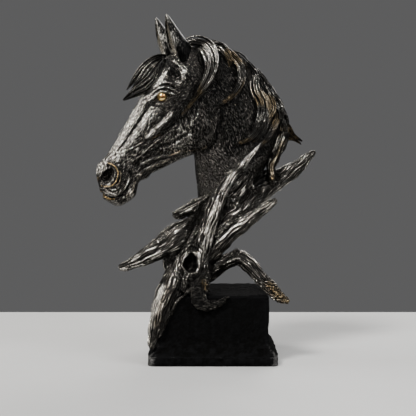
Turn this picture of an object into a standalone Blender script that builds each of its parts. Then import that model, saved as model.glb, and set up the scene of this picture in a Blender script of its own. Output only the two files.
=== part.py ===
"""Horse head sculpture: head, mane and driftwood in one casting on a flared black plinth.

Metres, +Z up, the plinth's front face toward -Y, the origin at the centre of its flat underside.
"""
import math

import bpy
import numpy as np
from mathutils import Vector
from mathutils.bvhtree import BVHTree

# Driving dimensions, metres
TOTAL_HEIGHT = 0.405
PLINTH_HEIGHT = 0.080
PLINTH_WIDTH = 0.130
PLINTH_DEPTH = 0.116
FOOT_WIDTH = 0.151
FOOT_DEPTH = 0.140
FOOT_LIP_HEIGHT = 0.012
FLARE_HEIGHT = 0.018
CORNER_RADIUS = 0.005
EDGE_ROUND = 0.0022
SEAT_GAP = 0.0003
HEAD_YAW = math.radians(20.0)
HEAD_TILT = math.radians(58.8)
CASTING_TRIANGLES = 8500
REMESH_VOXEL = 0.0016

# The figure is drawn in millimetres, 325 tall on a plinth 130 x 116 x 80, then brought to the sizes above
DRAWN_FIGURE, DRAWN_WIDTH, DRAWN_DEPTH, DRAWN_PLINTH = 325.0, 130.0, 116.0, 80.0
FIGURE_SCALE = (TOTAL_HEIGHT - PLINTH_HEIGHT) * 1000.0 / DRAWN_FIGURE
GRIP_RISE = 50.0

# The head's own axes: down the face, toward the throat, and sideways toward the near side
POLL = np.array([-53.2, -3.0, 363.0])
FORWARD = np.array([-math.cos(HEAD_YAW), -math.sin(HEAD_YAW), 0.0])
SIDE = np.array([math.sin(HEAD_YAW), -math.cos(HEAD_YAW), 0.0])
UPWARD = np.array([0.0, 0.0, 1.0])
FACE = math.cos(HEAD_TILT) * FORWARD - math.sin(HEAD_TILT) * UPWARD
THROAT = -math.sin(HEAD_TILT) * FORWARD - math.cos(HEAD_TILT) * UPWARD

# Head sections: distance down the face, profile line, five points round the side, line under the jaw
HEAD_SECTIONS = [
    (-14, 16.0, 12.0, 18.0, 20.0, 32.0, 20.0, 48.0, 14.0, 60.0, 8.0, 68.0, 70.0),
    (0, 5.0, 15.0, 7.0, 24.0, 24.0, 23.0, 45.0, 18.0, 66.0, 10.0, 76.0, 78.0),
    (18, 1.5, 19.0, 3.0, 27.5, 18.0, 26.0, 45.0, 22.0, 68.0, 15.0, 78.0, 79.0),
    (34, 1.0, 21.0, 3.5, 29.0, 17.0, 26.0, 46.0, 24.0, 74.0, 17.0, 86.0, 85.0),
    (48, 0.8, 20.0, 3.5, 29.5, 18.0, 25.5, 44.0, 24.5, 78.0, 17.5, 93.0, 91.0),
    (63, 0.8, 16.5, 3.5, 26.0, 24.0, 24.5, 45.0, 24.0, 79.0, 17.0, 96.5, 93.0),
    (76, 0.9, 13.5, 3.5, 22.5, 27.0, 22.5, 46.0, 22.0, 76.0, 15.5, 95.0, 92.0),
    (88, 1.0, 12.0, 3.5, 20.0, 27.0, 20.0, 46.0, 18.0, 70.0, 13.0, 87.0, 86.5),
    (97, 1.1, 11.2, 3.5, 18.5, 26.5, 17.0, 44.0, 14.0, 64.0, 10.0, 80.0, 80.0),
    (110, 1.2, 10.6, 3.5, 16.5, 25.0, 14.0, 41.0, 11.0, 57.0, 8.5, 70.5, 71.5),
    (124, 1.2, 10.6, 3.4, 14.5, 21.0, 12.0, 37.0, 9.8, 50.0, 7.5, 61.5, 62.5),
    (134, 1.0, 11.0, 3.2, 13.8, 19.0, 11.5, 34.0, 9.5, 46.0, 7.5, 54.5, 55.5),
    (142, 0.3, 12.0, 2.8, 14.3, 17.0, 12.0, 32.0, 10.0, 43.0, 7.5, 52.5, 54.0),
    (150, -1.8, 13.0, 2.0, 15.5, 15.0, 12.5, 29.0, 10.5, 38.0, 7.5, 46.5, 48.0),
    (158, -3.8, 13.5, 1.5, 16.8, 13.0, 13.5, 27.0, 12.0, 39.0, 8.5, 47.5, 49.5),
    (166, -2.0, 13.0, 3.0, 16.8, 13.5, 14.0, 28.0, 12.5, 41.0, 9.0, 50.0, 52.0),
    (173, 3.8, 11.5, 8.0, 15.2, 17.0, 13.8, 29.0, 12.0, 41.0, 8.5, 49.0, 50.5),
    (180, 11.2, 10.0, 14.0, 13.2, 21.0, 13.0, 31.0, 10.4, 40.0, 7.4, 45.5, 47.5),
    (185.5, 16.5, 7.8, 18.5, 10.4, 24.0, 10.2, 32.0, 8.0, 38.5, 5.4, 42.5, 44.0),
    (189, 20.5, 4.4, 22.5, 6.0, 27.0, 6.0, 33.0, 5.0, 36.0, 3.4, 38.5, 40.0),
]

# Neck sections: throat x and z, crest x and z, half width
NECK_SECTIONS = [
    (-58, 352, -34, 366, 17), (-48, 330, -14, 370, 20), (-38, 305, 9, 367, 20), (-30, 280, 33, 351, 21),
    (-25, 258, 54, 328, 22.5), (-22.5, 240, 71, 301, 24.5), (-21, 222, 81, 273, 26),
    (-19, 204, 78, 249, 28),
    (-17, 188, 65, 230, 29), (-10, 172, 55, 210, 28), (0, 160, 44, 190, 24),
]

# Driftwood limbs: x, y, z, half width, half thickness along each
DRIFTWOOD = {
    "trunk": [(-33, -20, 70, 26, 24), (-32, -20, 92, 24, 23), (-28, -18, 112, 24, 22),
              (-18, -16, 134, 24, 22),
              (-5, -14, 154, 26, 22), (12, -10, 172, 28, 22), (30, -6, 190, 27, 22), (46, -3, 204, 20, 18)],
    "front_root": [(-36, -26, 116, 13, 12), (-43, -38, 97, 14.5, 12.5), (-52, -50, 78, 14.5, 12.5),
                   (-60, -56, 62, 12.5, 11), (-65, -58, 46, 9.5, 9), (-68.5, -60, 34, 7, 6.5),
                   (-70, -61.5, 25, 4.6, 4.6), (-70.5, -63, 19, 2.2, 2.2)],
    "inner_root": [(-19, -27, 122, 14, 12), (-18, -32, 110, 16, 12), (-18, -37, 100, 15, 10),
                   (-20, -42, 92, 12, 7), (-22, -46, 87, 7, 4)],
    "low_root": [(-16, -44, 94, 9, 6), (-17.5, -54, 87, 9.5, 6.4), (-17.5, -60, 78, 9.5, 4.4),
                 (-11, -60.6, 71, 7.6, 3.2), (-1, -60.4, 69.5, 5.4, 2.9), (9, -60, 72.5, 3.8, 2.4),
                 (18, -60, 80, 1.3, 1.3)],
    "thin_root": [(-26, -55, 87, 2.6, 2.6), (-33, -59.3, 81, 1.9, 1.9), (-42, -60, 73, 1.6, 1.8),
                  (-46.3, -60, 64.5, 1.5, 1.7), (-47, -60, 58, 0.9, 1)],
    "web": [(-28, -26, 116, 12, 9), (-28, -38, 102, 12, 9), (-32, -46, 92, 9, 7), (-36, -52, 84, 5, 4)],
    "bark_tail": [(-10, -38, 104, 5, 5), (-8.5, -44, 94, 4.4, 4), (-9.5, -49, 86, 3, 3),
                  (-12, -53, 81, 1.5, 1.5)],
    "spear": [(-22, -32, 110, 12, 10), (-15, -34, 128, 11, 9.5), (-9, -35, 148, 10.5, 9),
              (-3, -36, 166, 10, 8.4), (4, -36.5, 184, 8.5, 7.6), (13, -36, 203, 6.8, 6.4), (24, -35, 218, 5.2, 5),
              (36, -33.5, 231.5, 3.8, 3.8), (48, -32, 245, 2.6, 2.6), (57.5, -30.5, 256, 1.2, 1.2)],
    "slab": [(-6, -12, 140, 16, 12), (14, -10, 164, 20, 14), (34, -8, 183, 20, 15), (54, -5, 198, 16, 13),
             (74, -2, 209.5, 12, 10), (92, 2, 220, 9, 8), (105, 4.5, 230, 6.8, 6.2),
             (117, 7.5, 240.5, 4.6, 4.4), (122, 8, 245, 2.4, 2.4)],
    "slab_ridge": [(2, -22, 168, 12, 6), (18, -24, 188, 12, 6), (31, -25, 205, 10.5, 5.4),
                   (40, -25, 216.5, 8.5, 4.6), (43.5, -25, 221, 5, 3)],
    "right_limb": [(-11, -24, 116, 13, 11), (3, -27, 133, 11.5, 10), (21, -29, 150, 10, 9),
                   (40, -31, 164, 8, 8), (55, -33, 175, 6.6, 6.2), (67, -35, 183.5, 4.8, 4.8), (74, -36, 188.5, 3, 3)],
    "short_limb": [(4, -12, 188, 13, 10), (-8, -13, 183, 10.5, 9), (-20, -14, 179, 9, 7.5),
                   (-32, -15, 174.5, 7.2, 6.5),
                   (-41, -16, 171, 5.8, 5.2), (-47, -16, 169.5, 3.4, 3.2)],
    "left_limb": [(6, -16, 170, 14, 11), (-12, -19, 160, 15, 10), (-28, -23, 151, 16, 9),
                  (-42, -27, 143, 16, 9),
                  (-57, -31, 134.5, 14, 8.5), (-70, -34, 127, 11, 8), (-84, -37, 120, 8.5, 7),
                  (-97, -40, 114, 6, 5.5), (-104, -42, 111.5, 5, 4.5), (-109, -42, 110.5, 3, 2.6)],
    "left_shoulder": [(-46, -18, 96, 9, 12), (-49, -20, 112, 10, 12), (-48, -22, 126, 11, 12),
                      (-42, -22, 140, 12, 12),
                      (-32, -20, 152, 10, 10)],
    "arched_limb": [(-24, -20, 96, 12, 10), (-10, -22, 104, 13, 9.5), (2, -22, 109.5, 11, 9),
                    (16, -24, 116, 9.6, 8.6), (28, -27, 120.5, 9, 8.4), (36, -29, 118, 8.8, 8.2),
                    (46, -33, 109, 8.6, 8), (56, -38, 98, 8, 7.5), (66, -41, 88, 7.5, 7),
                    (76, -44, 78, 6.5, 6), (83, -45, 73.5, 4.8, 4.4), (88, -46, 71, 2.6, 2.6)],
    "arch_knob": [(24, -27, 121, 6, 6), (27, -27, 128, 4, 4), (28, -27, 131.5, 2, 2)],
    "mane_fall": [(86, -3, 268, 6, 11), (83.5, -4, 258, 6, 11), (79, -6, 248, 6, 10.5),
                  (74, -7.5, 238, 5.6, 10), (69.5, -8, 228, 5.4, 9), (70, -8, 219, 5.2, 8), (72, -7, 207, 5, 8)],
    "rear_slab": [(-16, 10, 136, 16, 12), (2, 18, 158, 19, 14), (24, 22, 180, 18, 14),
                  (44, 22, 198, 14, 12),
                  (60, 20, 212, 9, 8), (72, 18, 223, 3, 3)],
    "rear_spear": [(6, 20, 160, 12, 10), (20, 30, 182, 10, 9), (34, 34, 204, 7.5, 7), (46, 36, 226, 5, 4.6),
                   (54, 37, 242, 2, 2)],
    "rear_limb": [(-8, 8, 150, 14, 11), (-20, 24, 142, 11, 9), (-32, 38, 134, 9, 8),
                  (-43, 50, 126, 6.6, 6.2),
                  (-50, 58, 121, 3.6, 3.6)],
    "rear_root": [(-30, 0, 106, 18, 16), (-25, 22, 95, 16, 14), (-21, 42, 86, 13, 11), (-19, 55, 76, 11, 9),
                  (-18, 60, 60, 8.5, 7), (-17, 61, 45, 5.6, 4.8), (-16, 61, 33, 2, 2)],
}

# Near-side locks: x, z, half width, half thickness; their depth is found on the neck and cheek
NEAR_LOCKS = [
    [(-38, 369, 4, 3.4), (-23, 374, 7, 5.2), (-9, 368, 9, 5.8), (-2, 354, 9, 5.8), (-2.5, 340, 8, 5.2),
     (-8, 326, 6.4, 4.4), (-17, 312, 4.4, 3.2), (-27, 299, 2.6, 2.4), (-38, 286, 1, 1)],
    [(-10, 371, 5, 4.4), (5, 369, 7, 5.4), (15, 361, 6.5, 5), (20, 352, 4, 3.4), (19, 344, 1.2, 1.2)],
    [(2, 354, 2.4, 2.2), (8, 342, 2.6, 2.2), (6, 331, 2.2, 2), (10, 320, 1, 1)],
    [(4, 369, 4.6, 4), (18, 361, 6.4, 4.8), (30, 349, 6.4, 4.8), (33.5, 334, 5.2, 4.2), (30, 321, 3.8, 3.4),
     (21, 309, 2.8, 2.6), (9, 300, 2.1, 2), (-1, 290, 0.9, 0.9)],
    [(18, 363, 4, 3.6), (31, 357, 5, 4), (39.5, 347, 4.6, 4), (42, 337, 3, 2.8), (44, 326, 1.2, 1.2)],
    [(39, 351, 4, 3.5), (49, 336, 6, 4.6), (51, 318, 6.5, 5), (58, 303, 7, 5), (58, 288, 6.5, 4.8),
     (53, 275, 5.4, 4), (47, 264, 4, 3.2), (37, 257, 3, 2.6), (28, 254, 2, 2), (22, 247, 1, 1)],
    [(50, 341, 4, 3.6), (60, 326, 5.5, 4.4), (65, 311, 6.5, 5), (69, 296, 6.5, 4.8), (63, 282, 5.6, 4.2),
     (60, 270, 4, 3.2), (52, 260, 2.4, 2.2), (45, 254, 1, 1)],
    [(61, 327, 4, 3.6), (71, 312, 5, 4.4), (71, 300, 5.2, 4.4), (76, 287, 5.2, 4.2), (72, 275, 4.6, 3.8),
     (66, 264, 3.6, 3), (58, 254, 2.2, 2), (51, 247, 1, 1)],
    [(71, 314, 4, 3.6), (80, 298, 5.5, 4.6), (80, 284, 6.2, 5), (83, 270, 6, 4.8), (78, 256, 5, 4.2),
     (72, 244, 3.6, 3), (67, 235, 1.6, 1.4)],
    [(80, 299, 4, 3.6), (86, 284, 4.6, 4.2), (86, 270, 5, 4.4), (82, 257, 5, 4), (75, 245, 4.6, 3.8),
     (68, 234, 4.2, 3.4), (68, 223, 3.6, 3), (73, 212, 1.6, 1.4)],
]

# Forelock strands and the small tuft at the back: x, y, z, half width, half thickness
FORELOCK = [
    [(-56.0, -2, 358.5, 2, 1.6), (-64.0, -5, 357.0, 3.6, 3), (-73.4, -8, 352.0, 4.4, 3.6),
     (-82.6, -11, 343.4, 4.6, 3.8), (-91.0, -14, 331.8, 3.6, 3), (-101.2, -17, 317.4, 0.5, 0.5)],
    [(-57.9, -6, 355.6, 2.5, 2), (-68.4, -9, 349.5, 5, 4), (-77.1, -12, 340.4, 5.8, 4.6),
     (-84.0, -15, 330.0, 4.2, 3.5), (-91.0, -17, 323.0, 2.2, 2), (-95.5, -18, 317.6, 0.5, 0.5)],
    [(-59.0, -8, 354.2, 2.5, 2), (-67.1, -11, 343.4, 5, 4), (-74.0, -14, 331.5, 5.4, 4.3),
     (-83.9, -17, 321.9, 4.6, 3.7), (-94.8, -20, 314.2, 3, 2.4), (-105.3, -22, 305.3, 0.6, 0.5)],
    [(-57.7, -11, 351.6, 2.5, 2), (-64.0, -14, 339.7, 4.4, 3.5), (-68.6, -17, 326.6, 4.6, 3.7),
     (-78.4, -20, 317.1, 3.6, 2.9), (-90.6, -22, 311.1, 2.4, 1.9), (-104.4, -24, 304.5, 0.5, 0.4)],
    [(-56.4, -12, 353.9, 2.5, 2), (-60.4, -15, 344.3, 4, 3.2), (-63.8, -18, 332.4, 3.6, 2.9),
     (-67.9, -20, 321.7, 2.2, 1.8), (-72.5, -21, 313.5, 0.6, 0.5)],
    [(-59.5, 4, 357.2, 2.5, 2), (-69.0, 2, 352.4, 4.2, 3.5), (-78.2, -2, 343.4, 4.6, 3.8),
     (-86.6, -7, 331.4, 3.4, 2.8), (-93.6, -11, 321.6, 0.5, 0.5)],
    [(-59.7, 8, 356.9, 2.5, 2), (-69.2, 7, 349.7, 4.6, 3.7), (-77.4, 3, 338.7, 4.6, 3.7),
     (-84.3, -2, 326.5, 3, 2.4), (-90.6, -6, 316.8, 0.6, 0.5)],
    [(-53.9, -16, 353.5, 1.6, 1.3), (-51.9, -22, 347.2, 2, 1.6), (-47.1, -28, 339.7, 1.8, 1.4),
     (-41.7, -32, 332.5, 0.6, 0.5)],
]
TUFT = [
    [(80, 0, 282, 6, 5), (90, 1, 272, 5, 4), (97, 2, 264, 3.2, 2.8), (107, 3, 257.5, 1.3, 1.3)],
    [(78, 0, 266, 6, 5), (88, 1, 262, 5, 4), (97, 2, 259.5, 2.6, 2.2), (106, 3, 254, 1.2, 1.2)],
]

# Features carved on both cheeks, in head coordinates: distance down the face, distance toward the throat
EYE_AT = (54.0, 15.7)
EYE_REACH = 28.0
EYE_RADIUS = 6.4
UPPER_LID = [(64.0, 7.5), (57.8, 7.6), (51.9, 9.7), (48.3, 14.4), (46.7, 20.6), (45.5, 27.0)]
LID_FOLD = [(57.7, 3.8), (50.7, 5.2), (45.0, 9.2), (42.3, 16.0), (41.4, 23.0), (41.0, 28.7)]
BROW_RIDGE = [(52.0, 1.8), (44.8, 3.4), (38.6, 8.6), (36.4, 15.4), (36.0, 22.5)]
LOWER_LID = [(64.6, 8.2), (64.2, 14.7), (61.2, 20.1), (56.2, 24.0), (49.0, 26.6)]
FACIAL_CREST = [(60.0, 36.0), (72.9, 33.8), (85.9, 30.7), (101.2, 25.8), (107.0, 24.3)]
UNDER_CREST = [(66.0, 42.5), (80.0, 40.0), (93.0, 36.5), (106.0, 31.0), (118.0, 26.0)]
MOUTH_LINE = [(186.0, 13.0), (186.4, 20.0), (185.3, 27.6), (179.6, 33.4), (171.4, 36.6), (163.0, 37.6),
              (156.5, 37.4)]
CHEEK_EDGE = [(66.0, 70.0), (80.0, 61.0), (92.0, 53.8), (100.0, 47.5), (108.0, 42.0)]
JAW_BAR = [(92.0, 72.0), (104.0, 61.0), (118.0, 51.5), (133.0, 44.5), (147.0, 40.5)]
NOSE_EDGE = [(66.0, 4.6), (89.0, 5.2), (111.2, 4.6), (131.4, 3.0), (146.9, 0.4)]
NOSTRIL_RIM = [(153.0, 3.0), (152.0, 8.6), (154.4, 14.5), (160.6, 18.6), (169.0, 19.8), (176.0, 16.0),
               (178.0, 9.6)]
JOWL_GROOVE = [(22.0, 80.0), (34.0, 87.0), (46.0, 92.5), (60.0, 96.0), (76.0, 95.0), (90.0, 90.0)]
JOWL_EDGE = [(24.0, 72.0), (36.0, 79.0), (48.0, 84.0), (61.0, 86.5), (75.0, 85.0), (86.0, 79.0)]
NOSTRIL_AT, NOSTRIL_RADIUS, NOSTRIL_DEPTH = (165.5, 9.0), 6.6, 8.5
MOUTH_DEPTH = 2.8
EAR_BASE_SIDE = 15.5

# Strokes on both cheeks: line, half width, height, and the reach from the middle where each begins
HEAD_STROKES = [
    (UPPER_LID, 3.4, 2.6, 6.0), (LID_FOLD, 2.6, 1.4, 6.0), (BROW_RIDGE, 5.0, 2.4, 6.0),
    (LOWER_LID, 3.2, 1.5, 6.0), (FACIAL_CREST, 7.5, 2.9, 6.0), (UNDER_CREST, 7.0, -1.3, 6.0),
    (NOSE_EDGE, 4.0, 1.0, 6.0), (CHEEK_EDGE, 7.0, -1.3, 6.0), (JAW_BAR, 6.5, 1.6, 6.0),
    (NOSTRIL_RIM, 3.4, 2.0, 5.0), (JOWL_GROOVE, 6.0, -2.2, 6.0), (JOWL_EDGE, 6.0, 1.4, 6.0),
]

# Round dabs on both cheeks: place down the face and toward the throat, squeeze each way, radius, height
HEAD_DABS = [
    (54.0, 15.7, 0.92, 1.0, 11.0, -4.4), (27.0, 14.0, 1.0, 1.0, 11.0, -3.0),
    (20.0, 24.0, 1.0, 1.0, 12.0, 1.6), (92.0, 15.0, 0.45, 1.0, 9.0, -1.8), (66.0, 70.0, 1.0, 0.8, 24.0, 1.2),
    (178.0, 25.0, 1.0, 1.0, 7.0, 1.2), (168.0, 43.5, 1.0, 1.0, 8.0, 1.4),
]

# Knot hole in the trunk: centre x and z, radius, and the depth in y that its face lies before
KNOT_CENTRE, KNOT_RADIUS, KNOT_FACE = (-25.6, 115.5), 8.6, -24.0

# Mane: the crest that the far locks hang from, their count, and how far a lock stands off the neck
CREST_LINE = [(-30, 369), (-6, 369), (14, 361), (33, 348), (52, 327), (66, 303), (76, 281)]
FAR_LOCK_COUNT = 9
LOCK_LIFT = 0.35


def through(a, b, c, d, f):
    """Smooth blend from b to c at the share f, with a and d as their outer neighbours."""
    bend = 2 * a - 5 * b + 4 * c - d
    twist = 3 * b - a - 3 * c + d
    return 0.5 * (2 * b + (c - a) * f + bend * f ** 2 + twist * f ** 3)


def curve(rows, count):
    """Smooth curve through rows of numbers, sampled evenly between them."""
    rows = np.asarray(rows, float)
    pad = np.vstack([2 * rows[0] - rows[1], rows, 2 * rows[-1] - rows[-2]])
    u = np.linspace(0.0, len(rows) - 1.0, count)
    i = np.minimum(u.astype(int), len(rows) - 2)
    return through(pad[i], pad[i + 1], pad[i + 2], pad[i + 3], (u - i)[:, None])


def closed_curve(points, count):
    """Smooth closed curve through points in a plane, sampled at even spacing along its length."""
    points = np.asarray(points, float)
    n = len(points)
    u = np.linspace(0.0, n, 24 * n, endpoint=False)
    i = u.astype(int)
    before, here, ahead, beyond = (points[(i + step) % n] for step in (-1, 0, 1, 2))
    fine = through(before, here, ahead, beyond, (u - i)[:, None])
    loop = np.vstack([fine, fine[:1]])
    length = np.concatenate([[0.0], np.cumsum(np.linalg.norm(np.diff(loop, axis=0), axis=1))])
    at = np.linspace(0.0, length[-1], count, endpoint=False)
    return np.stack([np.interp(at, length, loop[:, k]) for k in range(points.shape[1])], axis=1)


def unit(vectors):
    """Vectors brought to length one."""
    return vectors / np.maximum(np.linalg.norm(vectors, axis=-1, keepdims=True), 1e-9)


def skin(rings):
    """Closed skin through rings of equal counts, capped at both ends."""
    count = len(rings[0])
    faces = []
    for r in range(len(rings) - 1):
        for k in range(count):
            a, b = r * count + k, r * count + (k + 1) % count
            faces.append((a, b, b + count, a + count))
    last = (len(rings) - 1) * count
    faces.append(tuple(range(count - 1, -1, -1)))
    faces.append(tuple(last + k for k in range(count)))
    return np.vstack(rings), faces


def sweep(rows, facing, count=28, sides=14, knots=0.0, seed=0):
    """Tapered limb through rows of x, y, z, half width, half thickness; facing is the way its flat looks."""
    path = curve(rows, count)
    centre = path[:, :3]
    wide = np.maximum(path[:, 3], 0.6)
    thick = np.maximum(path[:, 4], 0.6)
    tangent = unit(np.gradient(centre, axis=0))
    facing = np.broadcast_to(np.asarray(facing, float), centre.shape)
    out = unit(facing - np.sum(facing * tangent, axis=1, keepdims=True) * tangent)
    across = np.cross(tangent, out)
    angles = np.linspace(0.0, 2 * math.pi, sides, endpoint=False)
    rings = []
    for k in range(count):
        ridges = 0.5 * np.sin(3 * angles + 0.21 * k + seed) + 0.35 * np.sin(5 * angles - 0.13 * k + 2 * seed)
        lump = 1.0 + knots * (ridges + 0.3 * math.sin(0.55 * k + 1.7 * seed))
        rings.append(centre[k] + across[k] * (wide[k] * np.cos(angles) * lump)[:, None]
                     + out[k] * (thick[k] * np.sin(angles) * lump)[:, None])
    return skin(rings)


def head_point(s, t, w):
    """Place of a head coordinate in the drawing."""
    return POLL + s * FACE + t * THROAT + w * SIDE


def head_shell():
    """Skull, cheeks and muzzle skinned through the head sections."""
    rings = []
    for row in curve(HEAD_SECTIONS, 96):
        s, top, bottom = row[0], row[1], row[12]
        side = [(row[k], row[k + 1]) for k in range(2, 12, 2)]
        outline = [(0.0, top)] + side + [(0.0, bottom)] + [(-w, t) for w, t in reversed(side)]
        rings.append(np.array([head_point(s, t, w) for w, t in closed_curve(outline, 56)]))
    return skin(rings)


def neck_shell():
    """Neck skinned from the poll down into the driftwood."""
    rings = []
    shape = [(0.0, 0.0), (0.10, 0.56), (0.34, 0.94), (0.58, 1.0), (0.82, 0.80), (0.95, 0.46), (1.0, 0.0)]
    outline = shape + [(along, -out) for along, out in reversed(shape[1:-1])]
    for front_x, front_z, back_x, back_z, half in curve(NECK_SECTIONS, 60):
        ring = closed_curve(outline, 48)
        along, out = ring[:, 0], ring[:, 1]
        rings.append(np.stack([front_x + (back_x - front_x) * along, -half * out,
                               front_z + (back_z - front_z) * along], axis=1))
    return skin(rings)


def ear_shell(side):
    """Cupped ear, open toward the front; side is 1 for the near ear and -1 for the far one."""
    base = head_point(-2.0, 12.0, side * EAR_BASE_SIDE) + np.array([0.8 * side - 0.8, 0.0, 0.0])
    tip = base + np.array([-19.5, -2.0, 46.0]) + side * 2.6 * SIDE
    axis = unit(tip - base)
    ahead = unit(FORWARD + 0.10 * side * SIDE)
    ahead = unit(ahead - np.dot(ahead, axis) * axis)
    across = np.cross(axis, ahead)
    rings = []
    length = np.linalg.norm(tip - base)
    reach = math.radians(118)
    angles = np.linspace(-reach, reach, 15)
    for v, half, deep, wall in curve([(-0.16, 9.0, 15.0, 5.0), (0.0, 9.8, 15.5, 4.4), (0.2, 10.4, 14.6, 3.4),
                                      (0.4, 9.8, 12.2, 2.8), (0.6, 8.0, 9.2, 2.5), (0.8, 5.2, 5.8, 2.1),
                                      (0.93, 2.7, 3.0, 1.5), (1.0, 1.1, 1.2, 0.7)], 30):
        centre = base + axis * v * length + ahead * (2.2 * math.sin(math.pi * max(v, 0.0)) - 1.5 * v)
        outer = np.stack([half * np.sin(angles), -deep * np.cos(angles)], axis=1)
        back = angles[::-1]
        inner = np.stack([(half - wall) * np.sin(back), 0.35 * wall - (deep - wall) * np.cos(back)], axis=1)
        loop = np.vstack([outer, inner])
        rings.append(centre + loop[:, :1] * across + loop[:, 1:] * ahead)
    return skin(rings)


def surface_tree(shells):
    """Search tree of several skins."""
    points, faces = [], []
    for verts, polygons in shells:
        start = len(points)
        points.extend(Vector(v) for v in verts)
        faces.extend(tuple(start + i for i in polygon) for polygon in polygons)
    return BVHTree.FromPolygons(points, faces)


def laid_lock(rows, tree, side):
    """A lock laid on the neck from one side: rows of x, z, half width, half thickness."""
    path = curve(rows, 4 * len(rows))
    depth = np.full(len(path), np.nan)
    outward = np.array([0.0, -side, 0.0])
    facing = np.tile(outward, (len(path), 1))
    for k, (x, z, wide, thick) in enumerate(path):
        hit, normal, _, _ = tree.ray_cast(Vector((x, -side * 200.0, z)), Vector((0.0, side, 0.0)))
        if hit is not None:
            depth[k] = hit.y - side * LOCK_LIFT * thick
            out = np.array(normal)
            facing[k] = unit(out * np.copysign(1.0, out @ outward) + 0.8 * outward)
    known = np.flatnonzero(~np.isnan(depth))
    edge = np.interp(np.arange(len(path)), known, depth[known]) if len(known) else np.zeros(len(path))
    missing = np.isnan(depth)
    edge[missing] = edge[missing] * 0.45
    for _ in range(4):
        edge = np.concatenate([edge[:1], 0.25 * edge[:-2] + 0.5 * edge[1:-1] + 0.25 * edge[2:], edge[-1:]])
        facing[1:-1] = unit(0.25 * facing[:-2] + 0.5 * facing[1:-1] + 0.25 * facing[2:])
    wide, thick = np.maximum(path[:, 2], 0.8), np.maximum(path[:, 3], 0.8)
    rows = np.stack([path[:, 0], edge, path[:, 1], wide, thick], axis=1)
    tangent = unit(np.gradient(rows[:, :3], axis=0))
    out = unit(facing - np.sum(facing * tangent, axis=1, keepdims=True) * tangent)
    across = np.cross(tangent, out)
    return rows, out, across


def tress(rows, out, across, strands):
    """A lock made of several strands side by side with grooves between them."""
    shells = []
    share = np.linspace(0.0, 1.0, len(rows))[:, None]
    for k in range(strands):
        place = 0.0 if strands == 1 else (k / (strands - 1) - 0.5) * 1.3
        weave = 0.16 * np.sin(2.6 * math.pi * share + 2.1 * k)
        strand = rows.copy()
        strand[:, :3] += across * (place + weave) * rows[:, 3:4] * (1.0 - 0.35 * share)
        strand[:, 3] = np.maximum(rows[:, 3] * (1.0 if strands == 1 else 0.52), 0.9)
        strand[:, 4] = np.maximum(rows[:, 4] * (1.0 - 0.16 * ((k + 1) % 2)), 0.9)
        shells.append(sweep(strand, out, count=len(rows), sides=10))
    return shells


def far_locks():
    """Plainer locks for the far side, hung at even spacing from the crest."""
    locks = []
    for k, (x, z) in enumerate(curve(CREST_LINE, FAR_LOCK_COUNT)):
        length = 72.0 - 3.5 * k + 8.0 * math.sin(1.9 * k)
        lean = -0.18 - 0.035 * k - 0.05 * math.cos(1.3 * k)
        rows = []
        for u in np.linspace(0.0, 1.0, 8):
            wave = 5.0 * math.sin(2 * math.pi * u * 0.95 + 0.7 * k) * u
            wide, thick = 6.2 * (1 - u) ** 0.6 + 1.0, 4.4 * (1 - u) ** 0.5 + 0.9
            rows.append((x + lean * length * u + wave, z - length * u, wide, thick))
        locks.append(rows)
    return locks


def mesh_object(name, verts, faces, collection):
    """Object from points in drawing millimetres."""
    mesh = bpy.data.meshes.new(name)
    mesh.from_pydata([tuple(v) for v in verts], [], faces)
    mesh.update()
    item = bpy.data.objects.new(name, mesh)
    collection.objects.link(item)
    return item


def join_shells(shells):
    """Several skins as one list of points and faces."""
    verts, faces, start = [], [], 0
    for points, polygons in shells:
        verts.append(points)
        faces.extend(tuple(start + i for i in polygon) for polygon in polygons)
        start += len(points)
    return np.vstack(verts), faces


def read_points(mesh):
    """Mesh points and edges as arrays."""
    points = np.empty(len(mesh.vertices) * 3)
    mesh.vertices.foreach_get("co", points)
    edges = np.empty(len(mesh.edges) * 2, dtype=np.int64)
    mesh.edges.foreach_get("vertices", edges)
    return points.reshape(-1, 3), edges.reshape(-1, 2)


def write_points(mesh, points):
    """Puts moved points back in the mesh."""
    mesh.vertices.foreach_set("co", points.ravel())
    mesh.update()


def relax(points, edges, rounds):
    """Evens the surface without shrinking it."""
    count = len(points)
    degree = np.bincount(edges.ravel(), minlength=count)[:, None]
    for step in range(rounds * 2):
        total = np.empty_like(points)
        for axis in range(3):
            total[:, axis] = (np.bincount(edges[:, 0], points[edges[:, 1], axis], count)
                              + np.bincount(edges[:, 1], points[edges[:, 0], axis], count))
        points = points + (0.5 if step % 2 == 0 else -0.52) * (total / degree - points)
    return points


def line_distance(flat, line):
    """Distance of flat points to a smooth line, and the share along it of the nearest place."""
    fine = curve(line, 40)
    best = np.full(len(flat), 1e9)
    share = np.zeros(len(flat))
    for k in range(len(fine) - 1):
        a, b = fine[k], fine[k + 1]
        span = b - a
        f = np.clip(((flat - a) @ span) / max(span @ span, 1e-9), 0.0, 1.0)
        gap = np.linalg.norm(flat - (a + f[:, None] * span), axis=1)
        closer = gap < best
        best[closer] = gap[closer]
        share[closer] = (k + f[closer]) / (len(fine) - 1)
    return best, share


def soft(gap, radius):
    """Rounded fall from one at no gap to nothing at the radius."""
    return np.clip(1.0 - (gap / radius) ** 2, 0.0, 1.0) ** 2


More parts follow.
